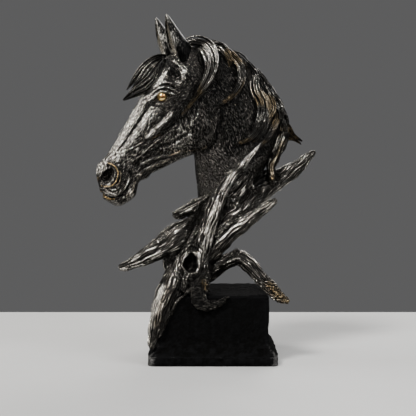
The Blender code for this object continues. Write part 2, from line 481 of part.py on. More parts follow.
def carve_head(points):
    """Presses sockets, nostrils, mouth and bone lines into both sides of the head."""
    rel = points - POLL
    s, t, w = rel @ FACE, rel @ THROAT, rel @ SIDE
    side, reach = np.sign(w), np.abs(w)
    region = (s > 8) & (s < 200) & (t < 112) & (reach < 45)
    flat = np.stack([s, t], axis=1)
    shift = np.zeros(len(points))
    for line, radius, height, least in HEAD_STROKES:
        gap, share = line_distance(flat, line)
        ends = np.clip(np.sin(math.pi * np.clip(share, 0.02, 0.98)) * 2.2, 0.0, 1.0)
        shift += height * soft(gap, radius) * ends * np.clip((reach - least) / 4.0, 0.0, 1.0)
    for down, across, stretch_s, stretch_t, radius, height in HEAD_DABS:
        shift += height * soft(np.hypot((s - down) * stretch_s, (t - across) * stretch_t), radius)
    nostril = np.hypot((s - NOSTRIL_AT[0]) * 0.62 + (t - NOSTRIL_AT[1]) * 0.16,
                       (t - NOSTRIL_AT[1]) - (s - NOSTRIL_AT[0]) * 0.10)
    shift -= NOSTRIL_DEPTH * np.clip(1.15 - (nostril / NOSTRIL_RADIUS) ** 2, 0.0, 1.0) * (reach > 5.0)
    gap, _ = line_distance(flat, MOUTH_LINE)
    crease = MOUTH_DEPTH * np.clip(1.0 - gap / MOUTH_DEPTH, 0.0, 1.0)
    shift -= crease * np.clip(reach / 4.0, 0.0, 1.0)
    inward = -1.2 * crease * np.clip((s - 176.0) / 6.0, 0.0, 1.0)
    moved = points + (shift * side * region)[:, None] * SIDE + (inward * region)[:, None] * FACE
    eye_gap = np.hypot(s - EYE_AT[0], t - EYE_AT[1])
    ball = EYE_REACH - EYE_RADIUS + np.sqrt(np.maximum(EYE_RADIUS ** 2 - eye_gap ** 2, 0.0))
    swell = region & (eye_gap < EYE_RADIUS * 0.85)
    lift = np.where(swell, np.maximum(ball - np.abs((moved - POLL) @ SIDE), 0.0), 0.0)
    return moved + (lift * side)[:, None] * SIDE


def carve_knot(points):
    """Presses the round knot hole into the trunk, raises its rim and leaves a bud inside."""
    from_x, from_z = points[:, 0] - KNOT_CENTRE[0], points[:, 2] - KNOT_CENTRE[1]
    gap = np.hypot(1.05 * from_x, 0.9 * from_z)
    hollow = -KNOT_RADIUS * np.clip(1.1 - (gap / KNOT_RADIUS) ** 2, 0.0, 1.0)
    rim = 2.0 * np.exp(-((gap - 1.34 * KNOT_RADIUS) / 2.0) ** 2)
    bud = 3.0 * np.exp(-(np.hypot(from_x - 2.0, 0.6 * from_z) / 2.4) ** 2)
    near = (points[:, 1] < KNOT_FACE) & (gap < 2.5 * KNOT_RADIUS)
    out = points.copy()
    out[:, 1] -= np.where(near, hollow + rim + bud, 0.0)
    return out


def to_metres(points):
    """Drawing millimetres to metres; low down, every point keeps its share of the plinth's own sizes."""
    scale = FIGURE_SCALE / 1000.0
    rise = points[:, 2] - DRAWN_PLINTH
    grip = np.clip(1.0 - rise / GRIP_RISE, 0.0, 1.0)
    grip = grip * grip * (3.0 - 2.0 * grip)
    out = points * scale
    out[:, 0] += points[:, 0] * grip * (PLINTH_WIDTH / DRAWN_WIDTH - scale)
    out[:, 1] += points[:, 1] * grip * (PLINTH_DEPTH / DRAWN_DEPTH - scale)
    out[:, 2] = PLINTH_HEIGHT + rise * np.where(rise < 0.0, PLINTH_HEIGHT / DRAWN_PLINTH, scale)
    return out


def evaluated_mesh(item):
    """The object's mesh after its modifiers."""
    graph = bpy.context.evaluated_depsgraph_get()
    return bpy.data.meshes.new_from_object(item.evaluated_get(graph))


def settle(item):
    """Applies the object's modifiers in place."""
    mesh = evaluated_mesh(item)
    item.modifiers.clear()
    item.data = mesh


def paint(name, colour, metallic, roughness):
    """Principled material."""
    material = bpy.data.materials.new(name)
    material.use_nodes = True
    shader = material.node_tree.nodes["Principled BSDF"]
    shader.inputs["Base Color"].default_value = colour
    shader.inputs["Metallic"].default_value = metallic
    shader.inputs["Roughness"].default_value = roughness
    return material


def rounded_ring(half_x, half_y, radius, z, steps=8):
    """Rounded rectangle as a ring of points, metres."""
    ring = []
    for cx, cy, start in ((1, 1, 0.0), (-1, 1, 0.5), (-1, -1, 1.0), (1, -1, 1.5)):
        for k in range(steps):
            angle = math.pi * (start + 0.5 * k / (steps - 1))
            x = cx * (half_x - radius) + radius * math.cos(angle)
            y = cy * (half_y - radius) + radius * math.sin(angle)
            ring.append((x, y, z))
    return np.array(ring)


def plinth_rings(grow):
    """Rings of the plinth from its underside to its top, each grown by a clearance."""
    foot_x, foot_y = FOOT_WIDTH / 2, FOOT_DEPTH / 2
    body_x, body_y = PLINTH_WIDTH / 2, PLINTH_DEPTH / 2
    lip, flare, top = FOOT_LIP_HEIGHT, FOOT_LIP_HEIGHT + FLARE_HEIGHT, PLINTH_HEIGHT
    levels = [(0.0, 0.86, 0.0), (0.12 * lip, 0.955, 0.0), (0.40 * lip, 1.0, 0.0), (0.9 * lip, 1.0, 0.0)]
    for share in np.linspace(0.12, 1.0, 7):
        levels.append((lip + share * (flare - lip), 0.9 * (1.0 - share) ** 1.7, 0.0))
    levels += [(0.5 * (flare + top), 0.0, 0.0), (top - EDGE_ROUND, 0.0, 0.0),
               (top - 0.35 * EDGE_ROUND, 0.0, 0.45 * EDGE_ROUND), (top, 0.0, 1.2 * EDGE_ROUND)]
    rings = []
    for z, out, inset in levels:
        x = body_x + (foot_x - body_x) * out - inset + grow
        y = body_y + (foot_y - body_y) * out - inset + grow
        height = z + (grow if z == top else 0.0) - (grow if z == 0.0 else 0.0)
        rings.append(rounded_ring(x, y, CORNER_RADIUS * (1.0 + 0.4 * out) + grow, height))
    return rings


for item in list(bpy.data.objects):
    bpy.data.objects.remove(item, do_unlink=True)

sculpture = bpy.data.collections.new("horse_head_sculpture")
bpy.context.scene.collection.children.link(sculpture)
cutters = bpy.data.collections.new("cutters")
bpy.context.scene.collection.children.link(cutters)

# Horse and driftwood: head, neck, ears, mane and limbs grown into one skin
head, neck = head_shell(), neck_shell()
tree = surface_tree([head, neck])
shells = [head, neck, ear_shell(1), ear_shell(-1)]
for lock in NEAR_LOCKS:
    broadest = max(row[2] for row in lock)
    strands = 3 if broadest > 5.3 else 2 if len(lock) > 4 else 1
    shells += tress(*laid_lock(lock, tree, 1.0), strands)
for lock in far_locks():
    shells += tress(*laid_lock(lock, tree, -1.0), 2)
for strand in FORELOCK + TUFT:
    shells.append(sweep(strand, (0.0, -1.0, 0.3), sides=12))
for index, (limb, rows) in enumerate(DRIFTWOOD.items()):
    shells.append(sweep(rows, (0.0, -1.0, 0.12), count=36, sides=18, knots=0.18, seed=index))

casting = mesh_object("horse_and_driftwood", *join_shells(shells), sculpture)
grow = casting.modifiers.new("grow_together", "REMESH")
grow.mode = "VOXEL"
grow.voxel_size = REMESH_VOXEL * 1000.0
settle(casting)
points, edges = read_points(casting.data)
points = relax(points, edges, 2)
points = carve_knot(carve_head(points))
points = relax(points, edges, 1)
write_points(casting.data, to_metres(points))

thin = casting.modifiers.new("facets", "DECIMATE")
casting.data.calc_loop_triangles()
thin.ratio = CASTING_TRIANGLES / len(casting.data.loop_triangles)
settle(casting)

# Seat: the plinth, grown by the gap, is taken out of the roots that clasp it
seat = mesh_object("plinth_seat", *skin(plinth_rings(SEAT_GAP)), cutters)
seat.display_type = "WIRE"
seat.hide_render = True
cut = casting.modifiers.new("seat_cut", "BOOLEAN")
cut.operation = "DIFFERENCE"
cut.solver = "EXACT"
cut.object = seat
casting.data.materials.clear()
casting.data.materials.append(paint("dark_bronze_resin", (0.06, 0.055, 0.05, 1.0), 0.85, 0.38))

# Plinth: black block with a flared foot and a flat underside
plinth = mesh_object("plinth", *skin(plinth_rings(0.0)), sculpture)
plinth.data.materials.append(paint("matt_black", (0.012, 0.012, 0.013, 1.0), 0.0, 0.6))
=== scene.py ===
# Horse head sculpture: the finished surfaces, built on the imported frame.
# Shapes are drawn in millimetres, 325 tall on a plinth 80 tall, and brought to the frame's size at the end.
import math

import bmesh
import bpy
import numpy as np
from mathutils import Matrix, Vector
from mathutils.bvhtree import BVHTree
from mathutils.kdtree import KDTree


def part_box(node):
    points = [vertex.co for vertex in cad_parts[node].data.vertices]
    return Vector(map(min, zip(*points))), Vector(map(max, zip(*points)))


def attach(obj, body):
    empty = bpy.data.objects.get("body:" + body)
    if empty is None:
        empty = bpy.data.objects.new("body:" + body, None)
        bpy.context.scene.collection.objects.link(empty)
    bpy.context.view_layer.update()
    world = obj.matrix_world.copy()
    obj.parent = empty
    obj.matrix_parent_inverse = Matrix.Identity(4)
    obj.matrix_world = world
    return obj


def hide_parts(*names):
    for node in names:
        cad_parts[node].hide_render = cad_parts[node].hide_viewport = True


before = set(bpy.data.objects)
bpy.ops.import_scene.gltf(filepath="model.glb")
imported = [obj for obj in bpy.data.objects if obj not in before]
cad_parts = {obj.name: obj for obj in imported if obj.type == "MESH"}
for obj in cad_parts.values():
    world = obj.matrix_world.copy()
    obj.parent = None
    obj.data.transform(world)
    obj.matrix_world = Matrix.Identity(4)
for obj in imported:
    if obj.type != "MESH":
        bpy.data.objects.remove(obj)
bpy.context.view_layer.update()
plinthLow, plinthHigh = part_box("plinth")
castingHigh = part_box("horse_and_driftwood")[1]
drawnEarTips = 324.9
drawnPlinth = 80.0
metresPerMm = (castingHigh.z - plinthHigh.z) / drawnEarTips
workshop = bpy.context.scene.collection

# The head's own axes: down the face, toward the throat, and sideways toward the near side
headYaw = math.radians(20.0)
headTilt = math.radians(58.8)
poll = np.array([-53.2, -3.0, 363.0])
ahead = np.array([-math.cos(headYaw), -math.sin(headYaw), 0.0])
sideways = np.array([math.sin(headYaw), -math.cos(headYaw), 0.0])
upward = np.array([0.0, 0.0, 1.0])
downFace = math.cos(headTilt) * ahead - math.sin(headTilt) * upward
towardThroat = -math.sin(headTilt) * ahead - math.cos(headTilt) * upward

# Head sections: distance down the face, profile line, five points round the side, line under the jaw
headSections = [
    (-14, 16, 12, 18, 20, 32, 20, 48, 14, 60, 8, 68, 70),
    (0, 5, 15, 7, 24, 24, 23, 45, 18, 66, 10, 76, 78),
    (18, 1.5, 19, 3, 27.5, 18, 26, 45, 22, 68, 15, 78, 79),
    (34, 1, 21, 3.5, 29, 17, 26, 46, 24, 74, 17, 86, 85),
    (48, 0.8, 20, 3.5, 29.5, 18, 25.5, 44, 24.5, 78, 17.5, 93, 91),
    (63, 0.8, 16.5, 3.5, 26, 24, 24.5, 45, 24, 79, 17, 96.5, 93),
    (76, 0.9, 13.5, 3.5, 22.5, 27, 22.5, 46, 22, 76, 15.5, 95, 92),
    (88, 1, 12, 3.5, 20, 27, 20, 46, 18, 70, 13, 87, 86.5),
    (97, 1.1, 11.2, 3.5, 18.5, 26.5, 17, 44, 14, 64, 10, 80, 80),
    (110, 1.2, 10.6, 3.5, 16.5, 25, 14, 41, 11, 57, 8.5, 70.5, 71.5),
    (124, 1.2, 10.6, 3.4, 14.5, 21, 12, 37, 9.8, 50, 7.5, 61.5, 62.5),
    (134, 1, 11, 3.2, 13.8, 19, 11.5, 34, 9.5, 46, 7.5, 54.5, 55.5),
    (142, 0.3, 12, 2.8, 14.3, 17, 12, 32, 10, 43, 7.5, 52.5, 54),
    (150, -1.8, 13, 2, 15.5, 15, 12.5, 29, 10.5, 38, 7.5, 46.5, 48),
    (158, -3.8, 13.5, 1.5, 16.8, 13, 13.5, 27, 12, 39, 8.5, 47.5, 49.5),
    (166, -2, 13, 3, 16.8, 13.5, 14, 28, 12.5, 41, 9, 50, 52),
    (173, 3.8, 11.5, 8, 15.2, 17, 13.8, 29, 12, 41, 8.5, 49, 50.5),
    (180, 11.2, 10, 14, 13.2, 21, 13, 31, 10.4, 40, 7.4, 45.5, 47.5),
    (185.5, 16.5, 7.8, 18.5, 10.4, 24, 10.2, 32, 8, 38.5, 5.4, 42.5, 44),
    (189, 20.5, 4.4, 22.5, 6, 27, 6, 33, 5, 36, 3.4, 38.5, 40),
]

# Neck sections: throat x and z, crest x and z, half width
neckSections = [
    (-58, 352, -34, 366, 17), (-48, 330, -14, 370, 20), (-38, 305, 9, 367, 20), (-30, 280, 33, 351, 21),
    (-25, 258, 54, 328, 22.5), (-22.5, 240, 71, 301, 24.5), (-21, 222, 81, 273, 26), (-19, 204, 78, 249, 28),
    (-17, 188, 65, 230, 29), (-10, 172, 55, 210, 28), (0, 160, 44, 190, 24),
]
# The neck's half outline: share of the way from throat to crest, share of the half width
neckHalf = [(0, 0), (0.10, 0.56), (0.34, 0.94), (0.58, 1), (0.82, 0.80), (0.95, 0.46), (1, 0)]


# Curves and numbers
def through(a, b, c, d, f):  # smooth way from b to c, with a before and d after
    bend = 2 * a - 5 * b + 4 * c - d
    twist = 3 * b - a - 3 * c + d
    return 0.5 * (2 * b + (c - a) * f + bend * f ** 2 + twist * f ** 3)


def curve(rows, count):  # smooth curve through rows of numbers
    rows = np.asarray(rows, float)
    pad = np.vstack([2 * rows[0] - rows[1], rows, 2 * rows[-1] - rows[-2]])
    u = np.linspace(0.0, len(rows) - 1.0, count)
    i = np.minimum(u.astype(int), len(rows) - 2)
    return through(*(pad[i + step] for step in range(4)), (u - i)[:, None])


def runAlong(path):  # distance run at each point of a path
    return np.concatenate([[0.0], np.cumsum(np.linalg.norm(np.diff(path, axis=0), axis=1))])


def evenly(loop, count):  # evenly spaced points round a closed loop
    loop = np.vstack([loop, loop[:1]])
    length = runAlong(loop)
    at = np.linspace(0.0, length[-1], count, endpoint=False)
    return np.stack([np.interp(at, length, column) for column in loop.T], axis=1)


def closedCurve(points, count):  # smooth, closed and evenly spaced
    points = np.asarray(points, float)
    u = np.linspace(0.0, len(points), 24 * len(points), endpoint=False)
    i = u.astype(int)
    beside = (points[(i + step) % len(points)] for step in (-1, 0, 1, 2))
    return evenly(through(*beside, (u - i)[:, None]), count)


def unit(vectors):
    return vectors / np.maximum(np.linalg.norm(vectors, axis=-1, keepdims=True), 1e-9)


def soft(gap, radius):  # one at no gap, falling to nothing at the radius
    return np.clip(1.0 - (gap / radius) ** 2, 0.0, 1.0) ** 2


def bell(gap, width):  # the same, with a long tail
    return np.exp(-(gap / width) ** 2)


def rise(value, low, high):  # nothing below low, one above high, smooth between
    share = np.clip((value - low) / (high - low), 0.0, 1.0)
    return share * share * (3.0 - 2.0 * share)


def softNoise(p, seed=0):  # smooth noise from -1 to 1 at any points
    cell = np.floor(p).astype(np.int64)
    f = p - cell
    f = f * f * f * (f * (f * 6.0 - 15.0) + 10.0)
    total = np.zeros(len(p))
    for corner in range(8):
        step = np.array([corner & 1, corner >> 1 & 1, corner >> 2 & 1])
        at = cell + step
        h = (at[:, 0] * 73856093) ^ (at[:, 1] * 19349663) ^ (at[:, 2] * 83492791) ^ (seed * 40503 + 977)
        h &= 0xffffffff
        h = ((h ^ (h >> 15)) * 2246822519) & 0xffffffff
        h = ((h ^ (h >> 13)) * 3266489917) & 0xffffffff
        weight = np.prod(np.where(step, f, 1.0 - f), axis=1)
        total += weight * ((h ^ (h >> 16)) / 2147483647.5 - 1.0)
    return total


def ridged(p, seed=0):  # thin raised lines where the noise crosses zero
    return 1.0 - 2.6 * np.minimum(np.abs(softNoise(p, seed)), 0.6)


def lineGap(flat, line, samples=40):  # distance to a smooth line, and the share along it
    fine = curve(line, samples)
    best = np.full(len(flat), 1e9)
    share = np.zeros(len(flat))
    for k in range(len(fine) - 1):
        a, span = fine[k], fine[k + 1] - fine[k]
        f = np.clip(((flat - a) @ span) / max(span @ span, 1e-9), 0.0, 1.0)
        gap = np.linalg.norm(flat - (a + f[:, None] * span), axis=1)
        closer = gap < best
        best[closer] = gap[closer]
        share[closer] = (k + f[closer]) / (len(fine) - 1)
    return best, share


def brushed(flat, strokes, samples, spread):  # strength of the strongest stroke over each point
    total = np.zeros(len(flat))
    for line, halfWidth, strength in strokes:
        gap, _ = lineGap(flat, line, samples)
        total = np.maximum(total, strength * soft(gap, spread * halfWidth))
    return total


# Skins and meshes
def skin(rings):  # closed skin through rings of equal counts
    count = len(rings[0])
    faces = []
    for r in range(len(rings) - 1):
        for k in range(count):
            a, b = r * count + k, r * count + (k + 1) % count
            faces.append((a, b, b + count, a + count))
    last = (len(rings) - 1) * count
    faces.append(tuple(range(count - 1, -1, -1)))
    faces.append(tuple(last + k for k in range(count)))
    return np.vstack(rings), faces


def joinShells(shells):
    verts, faces, start = [], [], 0
    for points, polygons in shells:
        verts.append(points)
        faces.extend(tuple(start + i for i in polygon) for polygon in polygons)
        start += len(points)
    return np.vstack(verts), faces


def searchTree(shells):
    points, faces = joinShells(shells)
    return BVHTree.FromPolygons([Vector(p) for p in points], faces)


def sweptPath(rows, facing, count):  # centre line, its frame and its half sizes
    path = curve(rows, count)
    centre, wide, thick = path[:, :3], np.maximum(path[:, 3], 0.5), np.maximum(path[:, 4], 0.5)
    tangent = unit(np.gradient(centre, axis=0))
    facing = np.broadcast_to(np.asarray(facing, float), centre.shape)
    out = unit(facing - np.sum(facing * tangent, axis=1, keepdims=True) * tangent)
    return centre, tangent, np.cross(tangent, out), out, wide, thick


def newPiece(name, points, faces, edges=()):
    mesh = bpy.data.meshes.new(name)
    mesh.from_pydata([tuple(p) for p in points], edges, faces)
    mesh.update()
    piece = bpy.data.objects.new(name, mesh)
    workshop.objects.link(piece)
    return piece


def bakeModifiers(piece):  # modifiers become plain mesh
    graph = bpy.context.evaluated_depsgraph_get()
    mesh = bpy.data.meshes.new_from_object(piece.evaluated_get(graph))
    piece.modifiers.clear()
    piece.data = mesh


def grownTogether(name, shells, voxel):  # overlapping skins as one even skin
    piece = newPiece(name, *joinShells(shells))
    grow = piece.modifiers.new("grow", "REMESH")
    grow.mode = "VOXEL"
    grow.voxel_size = voxel
    bakeModifiers(piece)
    return piece


def readLayer(layer, key, width, kind=np.float32):
    flat = np.empty(len(layer) * width, dtype=kind)
    layer.foreach_get(key, flat)
    return flat.reshape(-1, width) if width > 1 else flat


def getPoints(piece):
    return readLayer(piece.data.vertices, "co", 3, float)


def getNormals(piece):
    return readLayer(piece.data.vertex_normals, "vector", 3).astype(float)


def setPoints(piece, points):
    piece.data.vertices.foreach_set("co", points.ravel())
    piece.data.update()


def storeField(piece, name, values):  # a number or a vector for every point
    values = np.asarray(values, dtype=np.float32)
    kind, key = ("FLOAT", "value") if values.ndim == 1 else ("FLOAT_VECTOR", "vector")
    piece.data.attributes.new(name, kind, "POINT").data.foreach_set(key, values.ravel())


def blur(piece, values, rounds, push=(0.5, 0.5)):  # spreads values along the edges, two pushes by turns
    count = len(values)
    edges = readLayer(piece.data.edges, "vertices", 2, np.int64)
    degree = np.maximum(np.bincount(edges.ravel(), minlength=count), 1)[:, None]
    for step in range(rounds):
        total = np.stack([np.bincount(edges[:, 0], values[edges[:, 1], k], count)
                          + np.bincount(edges[:, 1], values[edges[:, 0], k], count)
                          for k in range(values.shape[1])], axis=1)
        values = values + push[step % 2] * (total / degree - values)
    return values


def relax(piece, rounds):  # evens the skin without shrinking it
    setPoints(piece, blur(piece, getPoints(piece), rounds * 2, (0.5, -0.52)))


def reliefFields(piece, fineSpan, formSpan, fineRounds=3, formRounds=40, share=1.0):
    # how far each point stands above its near and its wider surroundings, as -1 to 1
    points, normals = getPoints(piece), getNormals(piece)
    near = blur(piece, points, fineRounds)
    wide = blur(piece, near, formRounds)
    for name, above, span in (("edge", points - near, fineSpan), ("form", near - wide, formSpan)):
        storeField(piece, name, share * np.clip(np.sum(above * normals, axis=1) / span, -1.0, 1.0))


def toFrame(piece):  # drawing millimetres to the frame's metres
    points = getPoints(piece) * metresPerMm
    points[:, 2] += plinthHigh.z - drawnPlinth * metresPerMm
    setPoints(piece, points)
    piece.data.shade_smooth()


# Nodes
def feed(tree, node, feeds):  # links a socket to each named input, or sets the input's value
    for name, value in feeds.items():
        if isinstance(value, bpy.types.NodeSocket):
            tree.links.new(value, node.inputs[name])
        else:
            node.inputs[name].default_value = value


def nodeLine(tree, kind, feeds=None, **settings):  # one node, its settings and its inputs
    node = tree.nodes.new(kind)
    node.location = (220 * (len(tree.nodes) % 8), -280 * (len(tree.nodes) // 8))
    for key, value in settings.items():
        setattr(node, key, value)
    feed(tree, node, feeds or {})
    return node


def mathNode(tree, kind, *values, clamp=False):
    node = nodeLine(tree, "ShaderNodeMath", dict(enumerate(values)), operation=kind, use_clamp=clamp)
    return node.outputs[0]


def addSockets(tree, side, rows):  # label, kind and value of each socket of a group
    for label, kind, value in rows:
        socket = tree.interface.new_socket(label, in_out=side, socket_type="NodeSocket" + kind)
        if value is not None:
            socket.default_value = value


# Carved lines on both cheeks: points down the face and toward the throat
upperLid = [(64, 7.5), (57.8, 7.6), (51.9, 9.7), (48.3, 14.4), (46.7, 20.6), (45.5, 27)]
lidFold = [(57.7, 3.8), (50.7, 5.2), (45, 9.2), (42.3, 16), (41.4, 23), (41, 28.7)]
browRidge = [(52, 1.8), (44.8, 3.4), (38.6, 8.6), (36.4, 15.4), (36, 22.5)]
lowerLid = [(64.6, 8.2), (64.2, 14.7), (61.2, 20.1), (56.2, 24), (49, 26.6)]
facialCrest = [(60, 36), (72.9, 33.8), (85.9, 30.7), (101.2, 25.8), (107, 24.3)]
underCrest = [(64, 46), (77.1, 42.8), (86.5, 39.6), (95.5, 36.3), (104, 30.2), (111, 23.8)]
cheekEdge = [(66, 70), (80.1, 60.6), (88.9, 56.8), (95.8, 52.4), (102.2, 46.6), (109.4, 43.4), (118.4, 37.5)]
upperJaw = [(92, 73), (99.3, 67.5), (107.8, 59.2), (116.1, 50.4), (125.4, 42.2), (135.5, 36.4)]
lowerJaw = [(109.5, 64), (119.6, 57), (128.7, 50.5), (139.3, 44.6), (147.4, 41.4)]
noseEdge = [(66, 4.6), (89, 5.2), (111.2, 4.6), (131.4, 3), (146.9, 0.4)]
noseGroove = [(66, 8.4), (84.6, 9.2), (104.2, 8.2), (124.4, 6.2), (138, 4)]
cheekBand = [(72, 13.4), (88.6, 14), (104.6, 12.6), (122.1, 10.2), (137.5, 7)]
eyeVein = [(75, 10.5), (84.6, 17.2), (92.9, 21.4), (100.7, 22.4), (107, 26)]
muzzleVein = [(133, 9), (124.4, 16), (116.1, 20.8), (107.7, 25.6)]
nostrilRim = [(152.2, 1.7), (151.4, 6.9), (152.8, 13.2), (158, 18), (166, 20), (174, 17.8), (178.2, 10.4)]
lipFoldUpper = [(178.6, 11.3), (180.6, 17.7), (180.6, 24.6), (178, 31)]
lipFoldInner = [(177.5, 17), (175.8, 22.4), (172.4, 26.4), (167.6, 27.4)]
muzzleFold = [(171.3, 23), (164.9, 24.2), (157.8, 22.6), (151.4, 18)]
mouthFold = [(172.4, 33.2), (164.9, 34), (158.1, 33.8), (150.9, 32.4)]
chinFold = [(173.1, 41.6), (165.1, 43.8), (157.8, 42.3), (153.2, 40.9)]
mouthLine = [(186, 13), (186.4, 20), (185.3, 27.6), (179.6, 33.4), (171.4, 36.6), (163, 37.6), (156.5, 37.4)]
templeRidge = [(16, 5), (27, 5.2), (38.1, 4.4), (47.7, 4)]
brow = [(9.2, 0.6), (10.8, 8.3), (13.5, 17.1), (16.5, 24.6)]
foreStrand = [(12.4, -6), (18, -3), (26, -1)]
jowlGroove = [(22, 80), (34, 87), (46, 92.5), (60, 96), (76, 95), (90, 90)]
jowlEdge = [(24, 72), (36, 79), (48, 84), (61, 86.5), (75, 85), (86, 79)]
jowlLower = [(76, 90), (81.1, 87.8), (89.6, 78.3), (96, 67.7), (101.4, 56.5)]
cheekVein = [(95, 41), (104, 37), (116, 33), (128, 30), (138, 29)]
lipEdge = [(171.9, 2.5), (179.9, 7.3), (184.4, 15.5), (187, 24.2), (183.8, 30.4)]

# Head and neck: what a user would change
head = {
    "voxel": 0.8,
    "neckVoxel": 0.95,
    "rings": 250,
    "ringPoints": 170,
    "neckRings": 160,
    "neckRingPoints": 130,
    "eyeAt": (54.0, 15.7),
    "eyeReach": 28.0,
    "eyeRadius": 6.4,
    "nostrilAt": (165.5, 9.0),
    "nostrilSize": 6.4,
    "nostrilDepth": 9.5,
    "mouthDepth": 2.8,
    "hairHeight": 0.13,
    "hairLength": 6.5,
    "hairPitch": 2.0,
    "hairLean": [(0.64, 0.0, -0.77), (0.77, 0.0, 0.64), (0.0, 1.0, 0.0)],
    "skinGrain": 0.10,
    # less silver on the neck: partly less brushing, partly painted shade for the less lit neck
    "neckDark": 0.55,
    # line, half width, height, how far from the middle it starts
    "strokes": [
        (upperLid, 2.2, 2.5, 6), (lidFold, 1.7, 1.5, 6), (browRidge, 3, 2.2, 6), (lowerLid, 2.2, 0.8, 6),
        (facialCrest, 5.6, 2.9, 6), (underCrest, 4, -1.6, 6), (cheekEdge, 3.6, -1.6, 6),
        (upperJaw, 3, 1.6, 6), (lowerJaw, 3.8, 1.6, 5), (noseEdge, 3.2, 1, 5), (noseGroove, 2, -1.1, 6),
        (cheekBand, 6, 1, 6), (eyeVein, 1.5, 1.2, 6), (muzzleVein, 1.6, 1.2, 6),
        (nostrilRim, 2.1, 1.5, 5), (lipFoldUpper, 2, 1.3, 5), (lipFoldInner, 1.7, 1.1, 5),
        (muzzleFold, 2, 1.1, 5), (mouthFold, 2, 1.2, 5), (chinFold, 2.2, 1.1, 4),
        (templeRidge, 2.4, 1.4, 6), (brow, 2.2, 1.2, 4), (jowlGroove, 5, -2.6, 6), (jowlEdge, 5, 1.5, 6),
        (cheekVein, 1.6, 0.8, 6), (lipEdge, 1.8, 0.9, 3), (foreStrand, 2, 1.4, 3),
    ],
    # place, squeeze each way, radius, height
    "dabs": [
        (54, 15.7, 0.92, 1, 10.5, -4.6), (27, 14, 1, 1, 11, -3.2), (20, 24, 1, 1, 12, 1.6),
        (92, 24, 0.5, 1, 7, -1.3), (64, 66, 1, 0.8, 25, 1.6), (178, 25, 1, 1, 7, 1.2),
        (168, 43.5, 1, 1, 8, 1.6), (155, 3.6, 1, 1, 2.6, -2.8), (72, 25, 1, 1, 8, -1.2),
        (128, 24, 0.7, 1, 9, 1), (143, 20, 1, 1, 8, -1.1), (120, 31, 0.8, 1, 6, 1),
        (153, -5.5, 1, 1, 4, 1), (158, -2, 1, 1, 3.5, 0.9), (84, 52, 0.7, 1, 7, -0.9),
        (136, 34, 0.7, 1, 6, -0.9), (110, 50, 0.6, 1, 5, -0.9),
    ],
    # where silver was brushed on: line, half width, strength
    "silverAndSheen": [
        ([(56, -2), (75, 0), (93, 0.2), (115, 0.2), (137, -1.5), (152, -4)], 6, 0.86),
        ([(74, 16), (88.6, 14.6), (104.6, 12.6), (122.1, 10.4), (140, 7.5)], 8, 0.86),
        ([(66, 34.6), (75.6, 32.6), (88.7, 29), (102.5, 25)], 4, 0.62),
        ([(14, 22), (22, 21.6), (31, 20.8)], 6.5, 1), (templeRidge, 3.4, 0.9), (brow, 3, 0.5),
        (upperLid, 1.2, 0.25), (lidFold, 1, 0.20), (lowerLid, 1.2, 0.12), ([(68, 18), (76, 16)], 6, 0.7),
        ([(150, -6), (158, -6), (166, -4)], 8, 0.95), ([(176, 26), (180, 20)], 6, 0.45),
        ([(160, 40), (172, 43)], 7, 0.30), ([(112, 30), (124, 27), (140, 24)], 9, 0.35),
        ([(40, 60), (62, 66), (84, 66)], 28, 0.52), ([(110, 42), (140, 34)], 12, 0.22),
        ([(86, 40), (102, 33)], 9, 0.25), ([(57, -4), (62, 3)], 6, 0.8),
    ],
    # where the surface stayed dark
    "bare": [
        ([(44, 12), (46, 22), (54, 27), (63, 20), (66, 10)], 4, 0.55), (jowlGroove, 5, 0.5),
        (underCrest, 3.4, 0.45), ([(34, 32), (44, 44), (52, 52)], 9, 0.25),
        ([(30, 6), (34, 12), (36, 20)], 5, 0.45), (mouthLine, 2.4, 0.5), (cheekEdge, 2.4, 0.3),
        ([(160, 8), (170, 10)], 7, 0.6), ([(30, 34), (60, 44)], 5, 0.2),
    ],
    "gold": [
        (nostrilRim, 0.9, 0.7), (lipEdge, 1.6, 0.65), ([(96, 70), (106, 61)], 1.4, 0.45),
        (lowerJaw, 1.2, 0.26), ([(92, 37), (101, 32)], 2, 0.40), (chinFold, 1.8, 0.30),
        (jowlLower, 2, 0.30), (muzzleFold, 1.1, 0.30),
    ],
}


def headPoint(s, t, w):  # down the face, toward the throat and sideways, in the drawing's axes
    return poll + s * downFace + t * towardThroat + w * sideways


def headCoordinates(points):
    rel = points - poll
    return rel @ downFace, rel @ towardThroat, rel @ sideways


def onFace(s, t, w, start):  # the part of the head that the lines may reach
    return (s > start) & (s < 200) & (t < 112) & (np.abs(w) < 45)


def headShell():
    rings = []
    for row in curve(headSections, head["rings"]):
        s, top, bottom = row[0], row[1], row[12]
        side = [(row[k], row[k + 1]) for k in range(2, 12, 2)]
        outline = [(0.0, top)] + side + [(0.0, bottom)] + [(-w, t) for w, t in reversed(side)]
        rings.append(np.array([headPoint(s, t, w) for w, t in closedCurve(outline, head["ringPoints"])]))
    return skin(rings)


def neckSkin(sections, rings, ringPoints, start=0.0, length=1.0, thinner=0.0):
    # start and length: how much of the way from throat to crest it takes; thinner: taken off the half width
    outline = neckHalf + [(along, -out) for along, out in reversed(neckHalf[1:-1])]
    ring = closedCurve(outline, ringPoints)
    along, out = start + length * ring[:, 0], ring[:, 1]
    return skin([np.stack([frontX + (backX - frontX) * along, -(half - thinner) * out,
                           frontZ + (backZ - frontZ) * along], axis=1)
                 for frontX, frontZ, backX, backZ, half in curve(sections, rings)])


